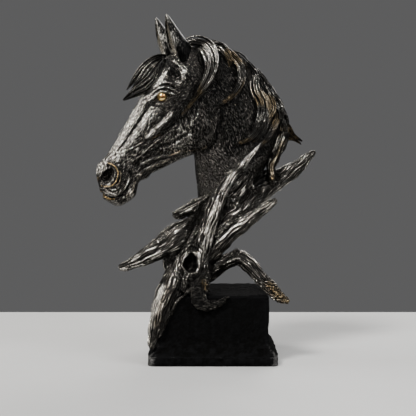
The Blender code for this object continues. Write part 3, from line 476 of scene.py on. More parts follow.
def carveHead(points):  # carved lines, broad dabs, nostril and mouth
    s, t, w = headCoordinates(points)
    side, reach = np.sign(w), np.abs(w)
    region = onFace(s, t, w, 8)
    flat = np.stack([s, t], axis=1)
    shift = np.zeros(len(points))
    near = np.flatnonzero(region)
    for line, halfWidth, height, start in head["strokes"]:
        gap, share = lineGap(flat[near], line)
        ends = np.clip(np.sin(math.pi * np.clip(share, 0.02, 0.98)) * 2.2, 0.0, 1.0)
        shift[near] += height * soft(gap, halfWidth) * ends * np.clip((reach[near] - start) / 4.0, 0.0, 1.0)
    for down, across, squeezeS, squeezeT, radius, height in head["dabs"]:
        shift += height * soft(np.hypot((s - down) * squeezeS, (t - across) * squeezeT), radius)
    fromS, fromT = s - head["nostrilAt"][0], t - head["nostrilAt"][1]
    nostril = np.hypot(fromS * 0.62 + fromT * 0.16, fromT - fromS * 0.10)
    hollow = np.clip(1.15 - (nostril / head["nostrilSize"]) ** 2, 0.0, 1.0)
    shift -= head["nostrilDepth"] * hollow * (reach > 5.0)
    gap, _ = lineGap(flat, mouthLine)
    crease = head["mouthDepth"] * np.clip(1.0 - gap / head["mouthDepth"], 0.0, 1.0)
    shift -= crease * np.clip(reach / 4.0, 0.0, 1.0)
    inward = -1.2 * crease * np.clip((s - 176.0) / 6.0, 0.0, 1.0)
    return points + (shift * side * region)[:, None] * sideways + (inward * region)[:, None] * downFace


def hairRelief(points, normals):  # short coat on cheek and neck, finer grain on the face
    s, t, w = headCoordinates(points)
    onHead = rise(s, 10, 30) * (1.0 - rise(t, 96, 108)) * (1.0 - rise(np.abs(w), 34, 42))
    coat = 1.0 - onHead * (1.0 - rise(t, 34, 50) * (1.0 - rise(s, 96, 120)))
    low = rise(-points[:, 2], -300, -230)
    hair = points @ np.array(head["hairLean"]).T
    sway = 1.5 * softNoise(points / 13.0, 3) + 3.0 * softNoise(points / 30.0, 4)
    hair[:, 1] += sway - 0.10 * low * hair[:, 0]
    lines = ridged(hair / np.array([head["hairLength"], head["hairPitch"], 2.0 * head["hairPitch"]]), 5)
    grain = softNoise(points / 2.0, 9) + 0.8 * softNoise(points / 5.0, 11)
    height = head["hairHeight"] * coat * (lines - 0.3) + head["skinGrain"] * grain
    moved = points + (height * (np.abs(w) + 40 * (1 - onHead) > 4.0))[:, None] * normals
    lie = np.where((coat > 0.5)[:, None], hair, np.stack([s, t + 0.05 * s, w], axis=1))
    return moved, lie, coat


def brushedOn(points, strokes):
    s, t, w = headCoordinates(points)
    return brushed(np.stack([s, t], axis=1), strokes, 16, 1.3) * onFace(s, t, w, -5)


def makeHorse(name, shell, voxel, hairLines):
    piece = grownTogether(name, [shell], voxel)
    relax(piece, 2)
    setPoints(piece, carveHead(getPoints(piece)))
    relax(piece, 1)
    carved = getPoints(piece)
    moved, lie, coat = hairRelief(carved, getNormals(piece))
    setPoints(piece, moved)
    reliefFields(piece, 0.27, 1.4)
    onNeck = coat * rise(carved[:, 0], -30.0, -12.0)
    # painted shadow: the coat is darker within a few millimetres of the mane's strands
    lockShadow = 1.0 - rise(np.array([hairLines.find(Vector(point))[2] for point in carved]), 4.0, 10.0)
    storeField(piece, "grain", lie)
    storeField(piece, "silverAndSheen", brushedOn(carved, head["silverAndSheen"]) - brushedOn(carved, head["bare"])
               - head["neckDark"] * onNeck)
    storeField(piece, "gold", brushedOn(carved, head["gold"]))
    # shade field: painted shadow of the locks and painted shade on the neck
    storeField(piece, "shade", lockShadow + 0.3 * onNeck)
    return piece


# Ears: cupped, open toward the front
ears = {
    "baseSide": 15.5,
    "reach": 46.0,
    "wrap": 118.0,
    "rings": 90,
    "sides": 40,
    "hair": 0.35,
    # share of the height, half width, depth, wall
    "profile": [(-0.16, 9.0, 15.0, 5.0), (0.0, 9.8, 15.5, 4.4), (0.2, 10.4, 14.6, 3.4), (0.4, 9.8, 12.2, 2.8),
                (0.6, 8.0, 9.2, 2.5), (0.8, 5.2, 5.8, 2.1), (0.93, 2.7, 3.0, 1.5), (1.0, 1.1, 1.2, 0.7)],
}


def earShell(side):
    base = headPoint(-2.0, 12.0, side * ears["baseSide"]) + np.array([0.8 * side - 0.8, 0.0, 0.0])
    tip = base + np.array([-19.5, -2.0, ears["reach"]]) + side * 2.6 * sideways
    axis = unit(tip - base)
    front = unit(ahead + 0.10 * side * sideways)
    front = unit(front - np.dot(front, axis) * axis)
    across = np.cross(axis, front)
    length = np.linalg.norm(tip - base)
    angles = np.radians(np.linspace(-ears["wrap"], ears["wrap"], ears["sides"]))
    back = angles[::-1]
    rings = []
    for v, half, deep, wall in curve(ears["profile"], ears["rings"]):
        bow = 2.2 * math.sin(math.pi * max(v, 0.0)) - 1.5 * v
        centre = base + axis * v * length + front * bow
        lines = ears["hair"] * np.sin(back * 13 + 2.0 * math.sin(v * 9.0)) * (1.0 - v) * (np.abs(back) < 1.7)
        outer = np.stack([half * np.sin(angles), -deep * np.cos(angles)], axis=1)
        inner = np.stack([(half - wall) * np.sin(back),
                          0.35 * wall - (deep - wall) * np.cos(back) + lines], axis=1)
        loop = np.vstack([outer, inner])
        rings.append(centre + loop[:, :1] * across + loop[:, 1:] * front)
    return skin(rings)


def makeEars():
    pair = newPiece("ears", *joinShells([earShell(1), earShell(-1)]))
    relax(pair, 1)
    points, normals = getPoints(pair), getNormals(pair)
    setPoints(pair, points + (0.14 * softNoise(points / 2.6, 21))[:, None] * normals)
    reliefFields(pair, 0.25, 1.0, fineRounds=8, formRounds=60)
    height, inside = points[:, 2], (normals @ ahead) > 0.25
    nearRim = np.clip(np.abs(np.linspace(-1.0, 1.0, ears["sides"])) * 6.0 - 5.0, 0.0, 1.0)
    rim = np.tile(nearRim, len(points) // ears["sides"])
    # painted sheen: a lighter band low on the back of each ear, stored with the brushed silver
    sheen = 0.25 + 0.85 * rise(height, 350, 366) * (1.0 - 0.5 * rise(height, 374, 400))
    storeField(pair, "silverAndSheen", np.where(inside, 0.30, sheen) + 0.7 * rim)
    storeField(pair, "gold", 0.45 * rise(height, 385, 402) * rim)
    storeField(pair, "grain", points[:, [2, 0, 1]])
    return pair


# Eyes: gilt balls with a small amber centre
eyes = {"radius": 6.3, "bulge": 0.5, "rows": 30, "sides": 44}


def makeEye(name, side):
    down, across = head["eyeAt"]
    centre = headPoint(down, across, side * (head["eyeReach"] - head["eyeRadius"]))
    look = unit(side * sideways + 0.10 * ahead)
    right = unit(np.cross(look, upward))
    around = np.linspace(0.0, 2 * math.pi, eyes["sides"], endpoint=False)
    circle = np.cos(around)[:, None] * right + np.sin(around)[:, None] * np.cross(right, look)
    rings = []
    for polar in np.linspace(0.02, math.pi - 0.02, eyes["rows"]):
        reach = eyes["radius"] + eyes["bulge"] * math.exp(-(polar / 0.5) ** 2)
        rings.append(centre + reach * (math.cos(polar) * look[None, :] + math.sin(polar) * circle))
    ball = newPiece(name, *skin(rings))
    storeField(ball, "iris", unit(getPoints(ball) - centre) @ look)
    return ball


# Mane: locks laid on the neck, each a bundle of strands
mane = {
    "lift": 0.60,
    "strandsNear": 6,
    "strandsThin": 3,
    "strandsFar": 4,
    "strandSize": 0.215,
    "samples": 46,
    "frontSamples": 34,
    "frontFacing": (0.0, -1.0, 0.3),
    "backFacing": (0.0, 1.0, 0.3),
    "ridgeDepth": 0.13,
    "flatness": 0.80,
    "twist": 0.8,
    "farCount": 9,
    "farLength": 72.0,
    "farWave": 5.0,
    "standOff": 4.2,
    # direction of the painted light on the mane: strands facing it take more silver
    "litFrom": (-0.45, -0.75, 0.5),
    # each piece, with the sides and ridges of its strands
    "pieces": [("mane_near_side", 22, 4.0), ("mane_far_side", 16, 3.0), ("forelock_and_tuft", 40, 7.0)],
}

# Near-side locks: x, z, half width, half thickness
nearLocks = [
    [(-38, 369, 4, 3.4), (-23, 374, 7, 5.2), (-9, 368, 9, 5.8), (-2, 354, 9, 5.8), (-2.5, 340, 8, 5.2),
     (-8, 326, 6.4, 4.4), (-17, 312, 4.4, 3.2), (-27, 299, 2.6, 2.4), (-38, 286, 1, 1)],
    [(-10, 371, 5, 4.4), (5, 369, 7, 5.4), (15, 361, 6.5, 5), (20, 352, 4, 3.4), (19, 344, 1.2, 1.2)],
    [(2, 354, 2.4, 2.2), (8, 342, 2.6, 2.2), (6, 331, 2.2, 2), (10, 320, 1, 1)],
    [(4, 369, 4.6, 4), (18, 361, 6.4, 4.8), (30, 349, 6.4, 4.8), (33.5, 334, 5.2, 4.2), (30, 321, 3.8, 3.4),
     (21, 309, 2.8, 2.6), (9, 300, 2.1, 2), (-1, 290, 0.9, 0.9)],
    [(18, 363, 4, 3.6), (31, 357, 5, 4), (39.5, 347, 4.6, 4), (42, 337, 3, 2.8), (44, 326, 1.2, 1.2)],
    [(39, 351, 4, 3.5), (49, 336, 6, 4.6), (51, 318, 6.5, 5), (58, 303, 7, 5), (58, 288, 6.5, 4.8),
     (53, 275, 5.4, 4), (47, 264, 4, 3.2), (37, 257, 3, 2.6), (28, 254, 2, 2), (22, 247, 1, 1)],
    [(50, 341, 4, 3.6), (60, 326, 5.5, 4.4), (65, 311, 6.5, 5), (69, 296, 6.5, 4.8), (63, 282, 5.6, 4.2),
     (60, 270, 4, 3.2), (52, 260, 2.4, 2.2), (45, 254, 1, 1)],
    [(61, 327, 4, 3.6), (71, 312, 5, 4.4), (71, 300, 5.2, 4.4), (76, 287, 5.2, 4.2), (72, 275, 4.6, 3.8),
     (66, 264, 3.6, 3), (58, 254, 2.2, 2), (51, 247, 1, 1)],
    [(71, 314, 4, 3.6), (80, 298, 5.5, 4.6), (80, 284, 6.2, 5), (83, 270, 6, 4.8), (78, 256, 5, 4.2),
     (72, 244, 3.6, 3), (67, 235, 1.6, 1.4)],
    [(80, 299, 4, 3.6), (86, 284, 4.6, 4.2), (86, 270, 5, 4.4), (82, 257, 5, 4), (75, 245, 4.6, 3.8),
     (68, 234, 4.2, 3.4), (68, 223, 3.6, 3), (73, 212, 1.6, 1.4)],
]
# Thin hairs pressed on the neck between the locks
neckWisps = [
    [(11, 296, 1.4, 1.4), (13, 283, 1.5, 1.4), (11, 272, 1.2, 1.2), (9, 263, 0.7, 0.7)],
    [(18, 296, 1.3, 1.3), (15, 281, 1.5, 1.4), (18, 266, 0.7, 0.7)],
    [(2, 318, 1.2, 1.2), (-1, 311, 1.5, 1.3), (-5, 304, 0.8, 0.8)],
    [(26, 300, 1.2, 1.2), (31, 288, 1.5, 1.4), (29, 276, 1.2, 1.2), (33, 266, 0.7, 0.7)],
]
# Forelock and the tuft at the back: x, y, z, half width, half thickness
forelock = [
    [(-56, -2, 358.5, 2, 1.6), (-64, -5, 357, 3.6, 3), (-73.4, -8, 352, 4.4, 3.6),
     (-82.6, -11, 343.4, 4.6, 3.8), (-91, -14, 331.8, 3.6, 3), (-101.2, -17, 317.4, 0.5, 0.5)],
    [(-57.9, -6, 355.6, 2.5, 2), (-68.4, -9, 349.5, 5, 4), (-77.1, -12, 340.4, 5.8, 4.6),
     (-84, -15, 330, 4.2, 3.5), (-91, -17, 323, 2.2, 2), (-95.5, -18, 317.6, 0.5, 0.5)],
    [(-59, -8, 354.2, 2.5, 2), (-67.1, -11, 343.4, 5, 4), (-74, -14, 331.5, 5.4, 4.3),
     (-83.9, -17, 321.9, 4.6, 3.7), (-94.8, -20, 314.2, 3, 2.4), (-105.3, -22, 305.3, 0.6, 0.5)],
    [(-57.7, -11, 351.6, 2.5, 2), (-64, -14, 339.7, 4.4, 3.5), (-68.6, -17, 326.6, 4.6, 3.7),
     (-78.4, -20, 317.1, 3.6, 2.9), (-90.6, -22, 311.1, 2.4, 1.9), (-104.4, -24, 304.5, 0.5, 0.4)],
    [(-56.4, -12, 353.9, 2.5, 2), (-60.4, -15, 344.3, 4, 3.2), (-63.8, -18, 332.4, 3.6, 2.9),
     (-67.9, -20, 321.7, 2.2, 1.8), (-72.5, -21, 313.5, 0.6, 0.5)],
    [(-59.5, 4, 357.2, 2.5, 2), (-69, 2, 352.4, 4.2, 3.5), (-78.2, -2, 343.4, 4.6, 3.8),
     (-86.6, -7, 331.4, 3.4, 2.8), (-93.6, -11, 321.6, 0.5, 0.5)],
    [(-59.7, 8, 356.9, 2.5, 2), (-69.2, 7, 349.7, 4.6, 3.7), (-77.4, 3, 338.7, 4.6, 3.7),
     (-84.3, -2, 326.5, 3, 2.4), (-90.6, -6, 316.8, 0.6, 0.5)],
    [(-53.9, -16, 353.5, 1.6, 1.3), (-51.9, -22, 347.2, 2, 1.6), (-47.1, -28, 339.7, 1.8, 1.4),
     (-41.7, -32, 332.5, 0.6, 0.5)],
]
tuft = [
    [(80, 0, 282, 6, 5), (90, 1, 272, 5, 4), (97, 2, 264, 3.2, 2.8), (107, 3, 257.5, 1.3, 1.3)],
    [(78, 0, 266, 6, 5), (88, 1, 262, 5, 4), (97, 2, 259.5, 2.6, 2.2), (106, 3, 254, 1.2, 1.2)],
]
crestLine = [(-30, 369), (-6, 369), (14, 361), (33, 348), (52, 327), (66, 303), (76, 281)]


def laidLock(rows, tree, side):  # a lock laid on the neck and cheek from one side
    path = curve(rows, mane["samples"])
    depth = np.full(len(path), np.nan)
    outward = np.array([0.0, -side, 0.0])
    facing = np.tile(outward, (len(path), 1))
    for k, (x, z, wide, thick) in enumerate(path):
        hit, normal, _, _ = tree.ray_cast(Vector((x, -side * 200.0, z)), Vector((0.0, side, 0.0)))
        if hit is not None:
            depth[k] = hit.y - side * mane["lift"] * thick
            out = np.array(normal)
            facing[k] = unit(out * np.copysign(1.0, out @ outward) + 0.8 * outward)
    missing = np.isnan(depth)
    known = np.flatnonzero(~missing)
    edge = np.interp(np.arange(len(path)), known, depth[known]) if len(known) else np.zeros(len(path))
    edge[missing] = edge[missing] * 0.45
    for _ in range(8):
        edge = np.concatenate([edge[:1], 0.25 * edge[:-2] + 0.5 * edge[1:-1] + 0.25 * edge[2:], edge[-1:]])
        facing[1:-1] = unit(0.25 * facing[:-2] + 0.5 * facing[1:-1] + 0.25 * facing[2:])
    wide, thick = np.maximum(path[:, 2], 0.7), np.maximum(path[:, 3], 0.7)
    return np.stack([path[:, 0], edge, path[:, 1], wide, thick], axis=1), facing


def farLocks():  # hung at even spacing from the crest
    locks = []
    for k, (x, z) in enumerate(curve(crestLine, mane["farCount"])):
        length = mane["farLength"] - 3.5 * k + 8.0 * math.sin(1.9 * k)
        lean = -0.18 - 0.035 * k - 0.05 * math.cos(1.3 * k)
        rows = []
        for u in np.linspace(0.0, 1.0, 8):
            wave = mane["farWave"] * math.sin(2 * math.pi * u * 0.95 + 0.7 * k) * u
            rows.append((x + lean * length * u + wave, z - length * u, 6.2 * (1 - u) ** 0.6 + 1.0,
                         4.4 * (1 - u) ** 0.5 + 0.9))
        locks.append(rows)
    return locks


def lockStrands(rows, facing, count, seed, core=True):
    # centre line, frame direction and radius of every strand of a lock
    centre, _, across, out, wide, thick = sweptPath(rows, facing, len(rows))
    share = np.linspace(0.0, 1.0, len(centre))
    strands = []
    if core:
        strands.append((centre - out * thick[:, None] * 0.60, out, 0.70 * np.minimum(wide, 1.2 * thick)))
    for k in range(count):
        turn = math.radians(14.0 + 152.0 * (k + 0.5) / count + 5.0 * math.sin(2.3 * k + seed))
        sway = 0.16 * np.sin(2 * math.pi * (share + 0.29 * k) + 1.7 * seed)
        beside = (0.98 * math.cos(turn) + sway) * (1.0 - 0.25 * share)
        lift = 0.55 * math.sin(turn) + 0.20 * np.sin(2 * math.pi * (0.9 * share + 0.41 * k) + seed) - 0.05
        line = centre + across * (beside * wide)[:, None] + out * (lift * thick)[:, None]
        full = mane["strandSize"] * wide * (1.0 + 0.25 * math.sin(3.1 * k + 2.0 * seed))
        stop = 1.0 - 0.14 * ((k * 0.618 + 0.31 * seed) % 1.0)
        taper = np.sqrt(np.clip((stop - share) / 0.22, 0.0, 1.0)) * np.clip(0.5 + share / 0.08, 0.0, 1.0)
        keep = share <= stop + 0.02
        strands.append((line[keep], out[keep], np.maximum(full * taper, 0.28)[keep]))
    return strands


def strandLines(name, strands):  # polylines that carry each strand's size, run, tone and lie
    lines, outs, sizes = zip(*strands)
    edges, start = [], 0
    for line in lines:
        edges += [(start + i, start + i + 1) for i in range(len(line) - 1)]
        start += len(line)
    tones = [np.full(len(line), (0.618 * k + 0.2) % 1.0) for k, line in enumerate(lines)]
    piece = newPiece(name, np.vstack(lines), [], edges)
    storeField(piece, "size", np.concatenate(sizes))
    storeField(piece, "along", np.concatenate([np.linspace(0.0, 1.0, len(line)) for line in lines]))
    storeField(piece, "tone", np.concatenate(tones))
    storeField(piece, "lie", np.vstack(outs))
    return piece


def makeStrandTree():  # sweeps a ridged hair profile along every polyline
    tree = bpy.data.node_groups.new("strandTree", "GeometryNodeTree")
    addSockets(tree, "INPUT", [
        ("Geometry", "Geometry", None), ("Sides", "Int", 18), ("Ridges", "Float", 3.0),
        ("Ridge Depth", "Float", 0.17), ("Flatness", "Float", 0.8), ("Twist", "Float", 0.6),
        ("Finish", "Material", None)])
    addSockets(tree, "OUTPUT", [("Geometry", "Geometry", None)])

    def step(kind, feeds, **settings):
        return nodeLine(tree, "GeometryNode" + kind, feeds, **settings).outputs[0]

    def field(name, kind="FLOAT"):
        return step("InputNamedAttribute", {"Name": name}, data_type=kind)

    given = nodeLine(tree, "NodeGroupInput").outputs
    size = field("size")
    twist = mathNode(tree, "MULTIPLY", field("along"), given["Twist"])
    line = step("MeshToCurve", {0: given["Geometry"]})
    line = step("SetCurveRadius", {"Curve": line, "Radius": size})
    line = step("SetCurveNormal", {"Curve": line, "Normal": field("lie", "FLOAT_VECTOR")}, mode="FREE")
    line = step("SetCurveTilt", {"Curve": line, "Tilt": twist})
    place = step("InputPosition", {})
    x, y, _ = nodeLine(tree, "ShaderNodeSeparateXYZ", {0: place}).outputs
    lobes = mathNode(tree, "MULTIPLY", mathNode(tree, "ARCTAN2", y, x), given["Ridges"])
    depth = mathNode(tree, "MULTIPLY_ADD", mathNode(tree, "SINE", lobes), given["Ridge Depth"], 1.0)
    flat = nodeLine(tree, "ShaderNodeCombineXYZ", {"X": 1.0, "Y": given["Flatness"], "Z": 1.0}).outputs[0]
    flat = nodeLine(tree, "ShaderNodeVectorMath", {0: place, 1: flat}, operation="MULTIPLY").outputs[0]
    grown = nodeLine(tree, "ShaderNodeVectorMath", {0: flat, "Scale": depth}, operation="SCALE").outputs[0]
    ring = step("CurvePrimitiveCircle", {"Resolution": given["Sides"], "Radius": 1.0})
    ring = step("SetPosition", {"Geometry": ring, "Position": grown})
    swept = step("CurveToMesh", {"Curve": line, "Profile Curve": ring, "Scale": size, "Fill Caps": True})
    swept = step("SetShadeSmooth", {"Geometry": swept})
    swept = step("RealizeInstances", {0: swept})
    swept = step("SetMaterial", {"Geometry": swept, "Material": given["Finish"]})
    nodeLine(tree, "NodeGroupOutput", {0: swept})
    return tree


def sweepStrands(name, strands, material, sides, ridges):  # the node tree's result as plain mesh
    piece = strandLines(name, strands)
    tree = bpy.data.node_groups.get("strandTree") or makeStrandTree()
    grow = piece.modifiers.new("strands", "NODES")
    grow.node_group = tree
    wanted = {"Sides": sides, "Ridges": ridges, "Ridge Depth": mane["ridgeDepth"],
              "Flatness": mane["flatness"], "Twist": mane["twist"], "Finish": material}
    for socket in tree.interface.items_tree:
        if socket.item_type == "SOCKET" and socket.in_out == "INPUT" and socket.name in wanted:
            grow[socket.identifier] = wanted[socket.name]
    bakeModifiers(piece)
    shape = bmesh.new()
    shape.from_mesh(piece.data)
    bmesh.ops.recalc_face_normals(shape, faces=shape.faces)
    shape.to_mesh(piece.data)
    shape.free()
    return piece


# Besides brushed metal on the crowns: painted light, a painted highlight and painted shade
def strandFields(piece, tree, ownRidges):  # the crown of every strand takes the brushed metal
    points, normals = getPoints(piece), getNormals(piece)
    along = readLayer(piece.data.attributes["along"].data, "value", 1)
    tone = readLayer(piece.data.attributes["tone"].data, "value", 1)
    lie = readLayer(piece.data.attributes["lie"].data, "vector", 3).astype(float)
    crown = np.sum(unit(lie) * normals, axis=1)
    tips = 1.0 - rise(along, 0.82, 0.97)
    reliefFields(piece, 0.20, 0.9, fineRounds=4, formRounds=16, share=tips)
    height = np.empty(len(points))
    for k, point in enumerate(points):
        hit, normal, _, gap = tree.find_nearest(Vector(point), 30.0)
        height[k] = 0.0 if hit is None else gap * np.copysign(1.0, (Vector(point) - hit).dot(normal))
    # painted light: the silver is stronger where a strand faces litFrom
    lit = 0.5 + 0.5 * (normals @ unit(np.array(mane["litFrom"])))
    shown = rise(height, 0.3 * mane["standOff"], 1.5 * mane["standOff"]) * (0.25 + 0.75 * lit)
    top = rise(crown, 0.52, 0.98)
    bend = 1.0 - rise(points[:, 0], 8.0, 24.0)
    if ownRidges:
        # painted shade: the forelock is darker toward its root and away from a band along each leaf's sides
        root = 1.0 - rise(-points[:, 0], 60.0, 76.0)
        edging = bell(crown - 0.30, 0.22)
        storeField(piece, "silverAndSheen", (0.92 * edging - 0.14) * lit * (0.5 + 0.5 * tips) * (1.0 - 0.6 * root))
        storeField(piece, "shade", 0.7 * root + 0.7 * (1.0 - edging))
    else:
        silverAndSheen = shown * top * (0.45 + 0.55 * tips) * (0.12 + 1.15 * rise(tone, 0.35, 0.75))
        # painted highlight: on the front of the mane the silver is cut back, and raised round height 334
        silverAndSheen = silverAndSheen * (1.0 - bend * (0.70 - 1.05 * bell(points[:, 2] - 334.0, 15.0)))
        # painted shade: darker on the strand sides between crowns and where strands lie close to the neck
        between = 0.95 * (1.0 - rise(crown, 0.05, 0.75))
        storeField(piece, "silverAndSheen", silverAndSheen)
        storeField(piece, "shade", between + 0.5 * (1.0 - rise(height, 0.0, 2.5)))
    storeField(piece, "gold", 0.28 * top * rise(softNoise(points / 18.0, 83), 0.1, 0.5))
    storeField(piece, "grain", np.stack([70.0 * along, points[:, 0] + points[:, 2], points[:, 1]], axis=1))


def strandPoints(groups):  # a search tree of every strand's centre line
    lines = np.vstack([line for strands in groups for line, _, _ in strands])
    tree = KDTree(len(lines))
    for k, point in enumerate(lines):
        tree.insert(Vector(point), k)
    tree.balance()
    return tree


def makeMane(tree, material):
    near, far, front = [], [], []
    for k, lock in enumerate(nearLocks):
        rows, facing = laidLock(lock, tree, 1.0)
        broad = max(row[2] for row in lock)
        count = mane["strandsNear"] if broad > 4.5 else mane["strandsThin"]
        near += lockStrands(rows, facing, count, 0.7 * k + 0.3, core=broad > 3)
    for k, wisp in enumerate(neckWisps):
        rows, facing = laidLock(wisp, tree, 1.0)
        near += lockStrands(rows, facing, 1, 0.4 * k, core=False)
    for k, lock in enumerate(farLocks()):
        rows, facing = laidLock(lock, tree, -1.0)
        far += lockStrands(rows, facing, mane["strandsFar"], 0.9 * k + 0.1)
    for lock in forelock:
        centre, _, _, out, wide, _ = sweptPath(lock, mane["frontFacing"], mane["frontSamples"])
        front.append((centre, out, np.maximum(wide, 0.4)))
    for k, lock in enumerate(tuft):
        rows = curve(lock, mane["frontSamples"])
        front += lockStrands(rows, mane["frontFacing"], 3, 0.8 * k + 0.5)
        front += lockStrands(rows, mane["backFacing"], 2, 0.6 * k + 0.2, core=False)
    pieces = []
    for (name, sides, ridges), strands in zip(mane["pieces"], (near, far, front)):
        piece = sweepStrands(name, strands, material, sides, ridges)
        strandFields(piece, tree, strands is front)
        pieces.append(piece)
    return pieces, strandPoints([near, front])


# Driftwood: limbs grown into one skin, with grooves that follow each limb
wood = {
    "voxel": 1.13,
    "facing": (0.0, -1.0, 0.12),
    "limbRings": 70,
    "limbSides": 44,
    "uneven": 0.18,
    "broadGroove": 2.7,
    "broadLength": 46.0,
    "broadDepth": 0.80,
    "fineGroove": 2.0,
    "fineLength": 24.0,
    "fineDepth": 0.45,
    "crumb": 0.8,
    "crumbSize": 2.6,
    "swell": 0.9,
    "pit": 0.12,
    "ringPitch": 3.2,
    "knotAt": (-25.6, 115.5),
    "knotRadius": 8.6,
    "knotFace": -24.0,
    "knotPull": 5.0,
}
# Limbs: x, y, z, half width, half thickness
limbs = {
    "trunk": [(-33, -20, 70, 26, 24), (-32, -20, 92, 24, 23), (-28, -18, 112, 24, 22),
              (-18, -16, 134, 24, 22),
              (-5, -14, 154, 26, 22), (12, -10, 172, 28, 22), (30, -6, 190, 27, 22), (46, -3, 204, 20, 18)],
    "front_root": [(-36, -26, 116, 13, 12), (-43, -38, 97, 14.5, 12.5), (-52, -50, 78, 14.5, 12.5),
                   (-60, -56, 62, 12.5, 11), (-65, -58, 46, 9.5, 9), (-68.5, -60, 34, 7, 6.5),
                   (-70, -61.5, 25, 4.6, 4.6), (-70.5, -63, 19, 2.2, 2.2)],
    "inner_root": [(-19, -27, 122, 14, 12), (-18, -32, 110, 16, 12), (-18, -37, 100, 15, 10),
                   (-20, -42, 92, 12, 7), (-22, -46, 87, 7, 4)],
    "low_root": [(-16, -44, 94, 9, 6), (-17.5, -54, 87, 9.5, 6.4), (-17.5, -60, 78, 9.5, 4.4),
                 (-11, -60.6, 71, 7.6, 3.2), (-1, -60.4, 69.5, 5.4, 2.9), (9, -60, 72.5, 3.8, 2.4),
                 (18, -60, 80, 1.3, 1.3)],
    "thin_root": [(-26, -55, 87, 2.6, 2.6), (-33, -59.3, 81, 1.9, 1.9), (-42, -60, 73, 1.6, 1.8),
                  (-46.3, -60, 64.5, 1.5, 1.7), (-47, -60, 58, 0.9, 1)],
    "web": [(-28, -26, 116, 12, 9), (-28, -38, 102, 12, 9), (-32, -46, 92, 9, 7), (-36, -52, 84, 5, 4)],
    "bark_tail": [(-10, -38, 104, 5, 5), (-8.5, -44, 94, 4.4, 4), (-9.5, -49, 86, 3, 3),
                  (-12, -53, 81, 1.5, 1.5)],
    "spear": [(-22, -32, 110, 12, 10), (-15, -34, 128, 11, 9.5), (-9, -35, 148, 10.5, 9),
              (-3, -36, 166, 10, 8.4), (4, -36.5, 184, 8.5, 7.6), (13, -36, 203, 6.8, 6.4),
              (24, -35, 218, 5.2, 5),
              (36, -33.5, 231.5, 3.8, 3.8), (48, -32, 245, 2.6, 2.6), (57.5, -30.5, 256, 1.2, 1.2)],
    "slab": [(-6, -12, 140, 16, 12), (14, -10, 164, 20, 14), (34, -8, 183, 20, 15), (54, -5, 198, 16, 13),
             (74, -2, 209.5, 12, 10), (92, 2, 220, 9, 8), (105, 4.5, 230, 6.8, 6.2),
             (117, 7.5, 240.5, 4.6, 4.4), (122, 8, 245, 2.4, 2.4)],
    "slab_ridge": [(2, -22, 168, 12, 6), (18, -24, 188, 12, 6), (31, -25, 205, 10.5, 5.4),
                   (40, -25, 216.5, 8.5, 4.6), (43.5, -25, 221, 5, 3)],
    "right_limb": [(-11, -24, 116, 13, 11), (3, -27, 133, 11.5, 10), (21, -29, 150, 10, 9),
                   (40, -31, 164, 8, 8), (55, -33, 175, 6.6, 6.2), (67, -35, 183.5, 4.8, 4.8),
                   (74, -36, 188.5, 3, 3)],
    "short_limb": [(4, -12, 188, 13, 10), (-8, -13, 183, 10.5, 9), (-20, -14, 179, 9, 7.5),
                   (-32, -15, 174.5, 7.2, 6.5), (-41, -16, 171, 5.8, 5.2), (-47, -16, 169.5, 3.4, 3.2)],
    "left_limb": [(6, -16, 170, 14, 11), (-12, -19, 160, 15, 10), (-28, -23, 151, 16, 9),
                  (-42, -27, 143, 16, 9),
                  (-57, -31, 134.5, 14, 8.5), (-70, -34, 127, 11, 8), (-84, -37, 120, 8.5, 7),
                  (-97, -40, 114, 6, 5.5), (-104, -42, 111.5, 5, 4.5), (-109, -42, 110.5, 3, 2.6)],
    "left_shoulder": [(-46, -18, 96, 9, 12), (-49, -20, 112, 10, 12), (-48, -22, 126, 11, 12),
                      (-42, -22, 140, 12, 12), (-32, -20, 152, 10, 10)],
    "arched_limb": [(-24, -20, 96, 12, 10), (-10, -22, 104, 13, 9.5), (2, -22, 109.5, 11, 9),
                    (16, -24, 116, 9.6, 8.6), (28, -27, 120.5, 9, 8.4), (36, -29, 118, 8.8, 8.2),
                    (46, -33, 109, 8.6, 8), (56, -38, 98, 8, 7.5), (66, -41, 88, 7.5, 7),
                    (76, -44, 78, 6.5, 6), (83, -45, 73.5, 4.8, 4.4), (88, -46, 71, 2.6, 2.6)],
    "arch_knob": [(24, -27, 121, 6, 6), (27, -27, 128, 4, 4), (28, -27, 131.5, 2, 2)],
    "mane_fall": [(86, -3, 268, 6, 11), (83.5, -4, 258, 6, 11), (79, -6, 248, 6, 10.5),
                  (74, -7.5, 238, 5.6, 10), (69.5, -8, 228, 5.4, 9), (70, -8, 219, 5.2, 8),
                  (72, -7, 207, 5, 8)],
    "rear_slab": [(-16, 10, 136, 16, 12), (2, 18, 158, 19, 14), (24, 22, 180, 18, 14), (44, 22, 198, 14, 12),
                  (60, 20, 212, 9, 8), (72, 18, 223, 3, 3)],
    "rear_spear": [(6, 20, 160, 12, 10), (20, 30, 182, 10, 9), (34, 34, 204, 7.5, 7), (46, 36, 226, 5, 4.6),
                   (54, 37, 242, 2, 2)],
    "rear_limb": [(-8, 8, 150, 14, 11), (-20, 24, 142, 11, 9), (-32, 38, 134, 9, 8),
                  (-43, 50, 126, 6.6, 6.2),
                  (-50, 58, 121, 3.6, 3.6)],
    "rear_root": [(-30, 0, 106, 18, 16), (-25, 22, 95, 16, 14), (-21, 42, 86, 13, 11), (-19, 55, 76, 11, 9),
                  (-18, 60, 60, 8.5, 7), (-17, 61, 45, 5.6, 4.8), (-16, 61, 33, 2, 2)],
}
